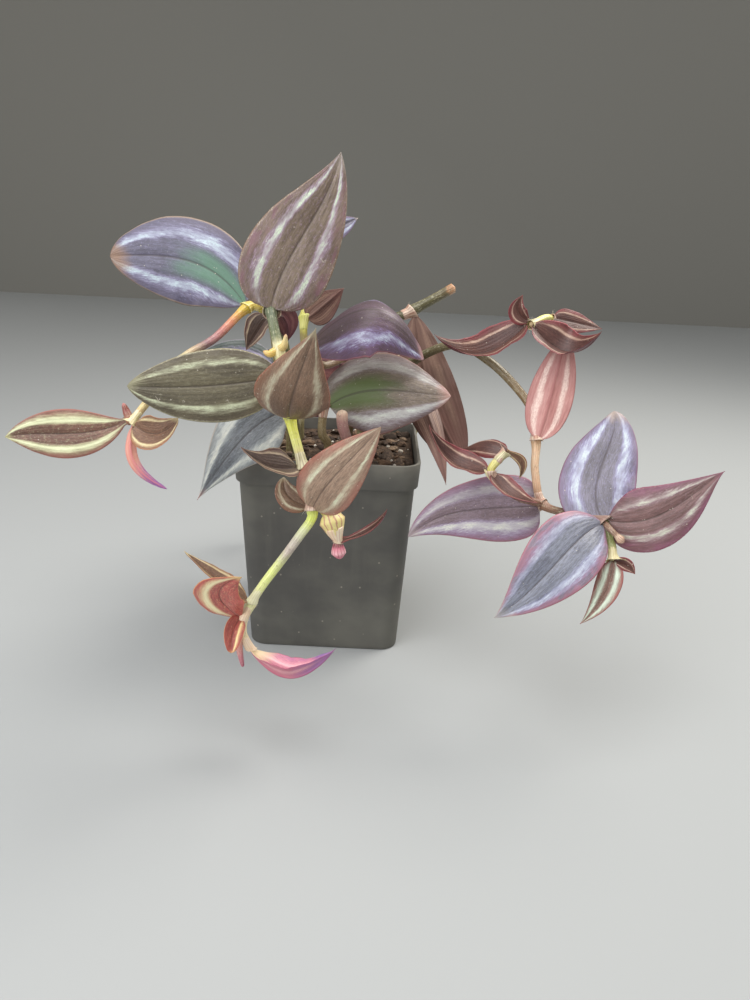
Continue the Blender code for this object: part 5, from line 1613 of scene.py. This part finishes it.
section = potProfile()
potGrid = roundedSquare(section[:, 0], section[:, 1], section[:, 2])
potPoints = withPoles(potGrid)
pot = addPiece("pot_moulded", potPoints, outward(potPoints, ringFaces(len(potGrid), potGrid.shape[1])),
               ["pot"], nodes=["pot"])
corners = [(x, y) for x in (-1, 1) for y in (-1, 1)]
cutWith(pot, [drainCutter(x * potShape["drainOffset"], y * potShape["drainOffset"]) for x, y in corners])
pot.data.set_sharp_from_angle(angle=math.radians(potShape["sharpFrom"]))
print("pot made")

# Potting mix: a lumpy bed in the pot, strewn with bark and perlite
mixShape = {
    "level": 75.0, "rimLevel": 72.2, "neckLevel": 70.8, "rimHalf": 33.0, "neckHalf": 31.8, "footHalf": 28.8,
    "corner": 6.0, "lumps": 1.8, "fine": 0.5, "keepOff": 2.6, "margin": 0.3, "strewnIn": 1.5,
    "lumpRows": 7, "lumpAround": 9,
}
# size is a bit's half length in mm, flat its thickness as a share of that, and lift how far up it lies
looseBits = {
    "bark_chips": dict(look="bark", count=420, size=(1.1, 3.4), flat=(0.18, 0.45), rough=0.12, lift=0.3),
    "perlite_grains": dict(look="perlite", count=46, size=(0.7, 1.5), flat=(0.6, 0.95), rough=0.08,
                           lift=0.5),
}


def bedHeight(x, y):
    # The bed's height in mm at a place: three crossed waves, finer waves on them, sinking at the edge.
    coarse = np.sin(0.31 * x + 1.1) * np.cos(0.27 * y - 0.6)
    middle = np.sin(0.83 * x - 0.71 * y + 2.0)
    small = np.cos(1.37 * x + 0.4) * np.sin(1.21 * y + 1.9)
    finer = np.sin(2.9 * x + 1.3 * y) * np.cos(3.3 * y - 1.1 * x)
    rise = mixShape["lumps"] * (0.45 * coarse + 0.3 * middle + 0.25 * small)
    rise = rise + mixShape["fine"] * 0.5 * finer
    edge = np.maximum(np.abs(x), np.abs(y)) / mixShape["rimHalf"]
    return mixShape["level"] + rise * np.clip(1 - edge ** 6, 0, 1)


def addBed():
    # From the middle of the top out to the pot's wall, down beside it and in to the middle of the floor.
    top = np.linspace(0.02, 1, 48)
    rim, neck, foot = mixShape["rimHalf"], mixShape["neckHalf"], mixShape["footHalf"]
    neckLevel, low = mixShape["neckLevel"], potShape["floor"] + mixShape["margin"]
    down = np.linspace(0, 1, 6)
    halves = np.concatenate([rim * top, [rim], neck + (foot - neck) * down, foot * np.array([0.6, 0.05])])
    heights = np.concatenate([np.full(len(top), mixShape["level"]), [mixShape["rimLevel"]],
                              neckLevel + (low - neckLevel) * down, [low, low]])
    grid = roundedSquare(halves, mixShape["corner"] * halves / rim, heights)
    flat = grid[:len(top)]
    flat[..., 2] = bedHeight(flat[..., 0], flat[..., 1])
    points = withPoles(grid)
    faces = outward(points, ringFaces(len(grid), grid.shape[1]))
    return addPiece("potting_mix", points, faces, ["mix"], nodes=["soil"])


def lump(count, rows, around, sizes, flat, rough):
    # Many rough lumps: a sphere's rows and turns, squashed, and pushed in and out by a few waves whose
    # phases are drawn for each lump, so no two are alike.
    polar = np.linspace(0.12, np.pi - 0.12, rows)[None, :, None]
    turn = np.linspace(0, 2 * np.pi, around, endpoint=False)[None, None, :]
    phase = dice.uniform(0, 6.28, (6, count, 1, 1))
    bulge = 1 + rough * (
        np.sin(2 * turn + phase[0]) * np.sin(polar * 2 + phase[1])
        + 0.7 * np.sin(3 * turn + phase[2]) * np.sin(3 * polar + phase[3])
        + 0.5 * np.sin(5 * turn + phase[4] + 4 * polar + phase[5])
    )
    level = np.sin(polar)
    ball = np.stack(np.broadcast_arrays(level * np.cos(turn), level * np.sin(turn), np.cos(polar)), -1)
    stretch = sizes[:, None] * np.stack([np.ones(count), dice.uniform(0.45, 0.8, count), flat], -1)
    return ball * bulge[..., None] * stretch[:, None, None, :]


def strewn(count, size):
    # Places on the bed, drawn evenly, and lifted off the stems' own places.
    half = mixShape["rimHalf"] - mixShape["strewnIn"]
    xy = dice.uniform(-half, half, (count, 2))
    roots = np.array([plan["route"][0][:2] for plan in stems.values()])
    gap = xy[:, None] - roots[None]
    distance = np.linalg.norm(gap, axis=-1)
    nearest = distance.argmin(1)
    close = distance[np.arange(count), nearest]
    keep = mixShape["keepOff"] + size
    away = gap[np.arange(count), nearest] / np.maximum(close, 1e-3)[:, None]
    xy = xy + away * np.clip(keep - close, 0, None)[:, None]
    xy = np.clip(xy, -half, half)
    return np.column_stack([xy, bedHeight(xy[:, 0], xy[:, 1])])


def addStrewn(name, bits):
    # Loose bits on the bed as one piece: lumps, each tilted and then spun by its own angle, set on its
    # place and moved up or down by a share of its thickness. None leaves the bed's square.
    count, rows, around = bits["count"], mixShape["lumpRows"], mixShape["lumpAround"]
    flat = dice.uniform(*bits["flat"], count)
    size = dice.uniform(*bits["size"], count) * dice.uniform(0.5, 1, count)
    shapes = lump(count, rows, around, size, flat, bits["rough"])
    spin = dice.uniform(0, 6.28, count)
    tilt = dice.normal(0, 0.45, count)
    c, s = np.cos(spin), np.sin(spin)
    ct, st = np.cos(tilt), np.sin(tilt)
    zero, one = np.zeros(count), np.ones(count)
    turnZ = np.stack([c, -s, zero, s, c, zero, zero, zero, one], -1).reshape(-1, 3, 3)
    turnX = np.stack([one, zero, zero, zero, ct, -st, zero, st, ct], -1).reshape(-1, 3, 3)
    turned = np.einsum("nij,nabj->nabi", turnZ @ turnX, shapes)
    centre = strewn(count, size)
    centre[:, 2] += size * flat * bits["lift"] + dice.uniform(-0.2, 0.6, count)
    grids = turned + centre[:, None, None]
    inside = mixShape["rimHalf"] - mixShape["margin"]
    grids[..., :2] = np.clip(grids[..., :2], -inside, inside)
    points = manyPoints(grids)
    faces = outward(points, manyFaces(count, rows, around))
    each = rows * around + 2
    tone = np.repeat(dice.uniform(0, 1, count), each)
    span = manyPoints(shapes) + np.repeat(dice.uniform(0, 50, count), each)[:, None]
    place = np.stack([np.zeros(len(tone)), np.zeros(len(tone)), tone], -1)
    return addPiece(name, points, faces, [bits["look"]], place, span)


addBed()
for name, bits in looseBits.items():
    addStrewn(name, bits)
print("potting mix made")

# Studio: a plain pale floor that ends at a plain wall, a soft key from the upper right, a fill from the
# left and a soft light overhead, in a pale surrounding
studio = {
    "floor": "#a5a8a9", "wall": "#8f8e89", "sky": "#e9e7e3", "skyStrength": 0.66,
    "half": 1500.0, "far": 1430.0, "high": 1200.0, "drop": -0.2, "aim": (10.0, -30.0, 80.0),
}
lamps = {
    "key": dict(at=(420.0, 200.0, 620.0), size=420.0, power=4.1, colour=(1.0, 0.96, 0.89)),
    "fill": dict(at=(-380.0, -460.0, 400.0), size=600.0, power=2.6, colour=(0.98, 0.98, 1.0)),
    "top": dict(at=(-40.0, -160.0, 700.0), size=500.0, power=2.45, colour=(1.0, 0.99, 0.97)),
}


def addBoard(name, corners, hexColour, finish):
    # A flat board of the studio, from its corners in mm. A matt paint shows no gloss.
    mesh = newMesh(name, np.array(corners), [np.array([(0, 1, 2, 3)])])
    mesh.materials.append(startMaterial(finish, 0.9, Base_Color=linear(hexColour))[0])
    board = intoScene(name, mesh)


def addLamp(name, lamp):
    # A round soft lamp that looks at the plant: turned down by its angle from the downright, then round.
    light = bpy.data.lights.new(name, "AREA")
    light.shape = "DISK"
    light.size = lamp["size"] * mm
    light.energy = lamp["power"]
    light.color = lamp["colour"]
    thing = intoScene(name, light)
    at = np.array(lamp["at"])
    thing.location = (at * mm).tolist()
    ahead = unit(np.array(studio["aim"]) - at)
    flat = math.hypot(ahead[0], ahead[1])
    thing.rotation_euler = (math.atan2(flat, -ahead[2]), 0.0, math.atan2(-ahead[0], ahead[1]))


def addCamera():
    # The camera at the photograph's own place, with its lens in mm for the same angle of view.
    camera = bpy.data.cameras.new("camera")
    camera.sensor_width = frontView["sensor"]
    camera.lens = frontView["lens"] / frontView["longSide"] * frontView["sensor"]
    camera.clip_start, camera.clip_end = frontView["clip"]
    thing = intoScene("camera", camera)
    thing.location = [part * mm for part in frontView["eye"]]
    # it looks along +Y and down, and leans about its own line of sight
    lean, down = np.radians((frontView["lean"], frontView["lookDown"]))
    tilt = np.pi / 2 - down
    turnX = np.array([[1, 0, 0], [0, math.cos(tilt), -math.sin(tilt)], [0, math.sin(tilt), math.cos(tilt)]])
    turnZ = np.array([[math.cos(lean), -math.sin(lean), 0], [math.sin(lean), math.cos(lean), 0], [0, 0, 1]])
    whole = turnX @ turnZ
    thing.rotation_mode = "XYZ"
    thing.rotation_euler = (
        math.atan2(whole[2, 1], whole[2, 2]), math.asin(-whole[2, 0]), math.atan2(whole[1, 0], whole[0, 0]),
    )
    bpy.context.scene.camera = thing


half, far, wallTop, drop = studio["half"], studio["far"], studio["high"], studio["drop"]
addBoard("floor", [(-half, -half, drop), (half, -half, drop), (half, far, drop), (-half, far, drop)],
         studio["floor"], "studio floor, matt paint")
addBoard("wall", [(-half, far, drop), (half, far, drop), (half, far, wallTop), (-half, far, wallTop)],
         studio["wall"], "studio wall, matt paint")
for name, lamp in lamps.items():
    addLamp(name, lamp)
addCamera()
world = bpy.data.worlds.new("pale sky")
world.use_nodes = True
world.node_tree.nodes["Background"].inputs["Color"].default_value = linear(studio["sky"])
world.node_tree.nodes["Background"].inputs["Strength"].default_value = studio["skyStrength"]
bpy.context.scene.world = world
bpy.context.scene.view_settings.view_transform = "Standard"
print("studio made")
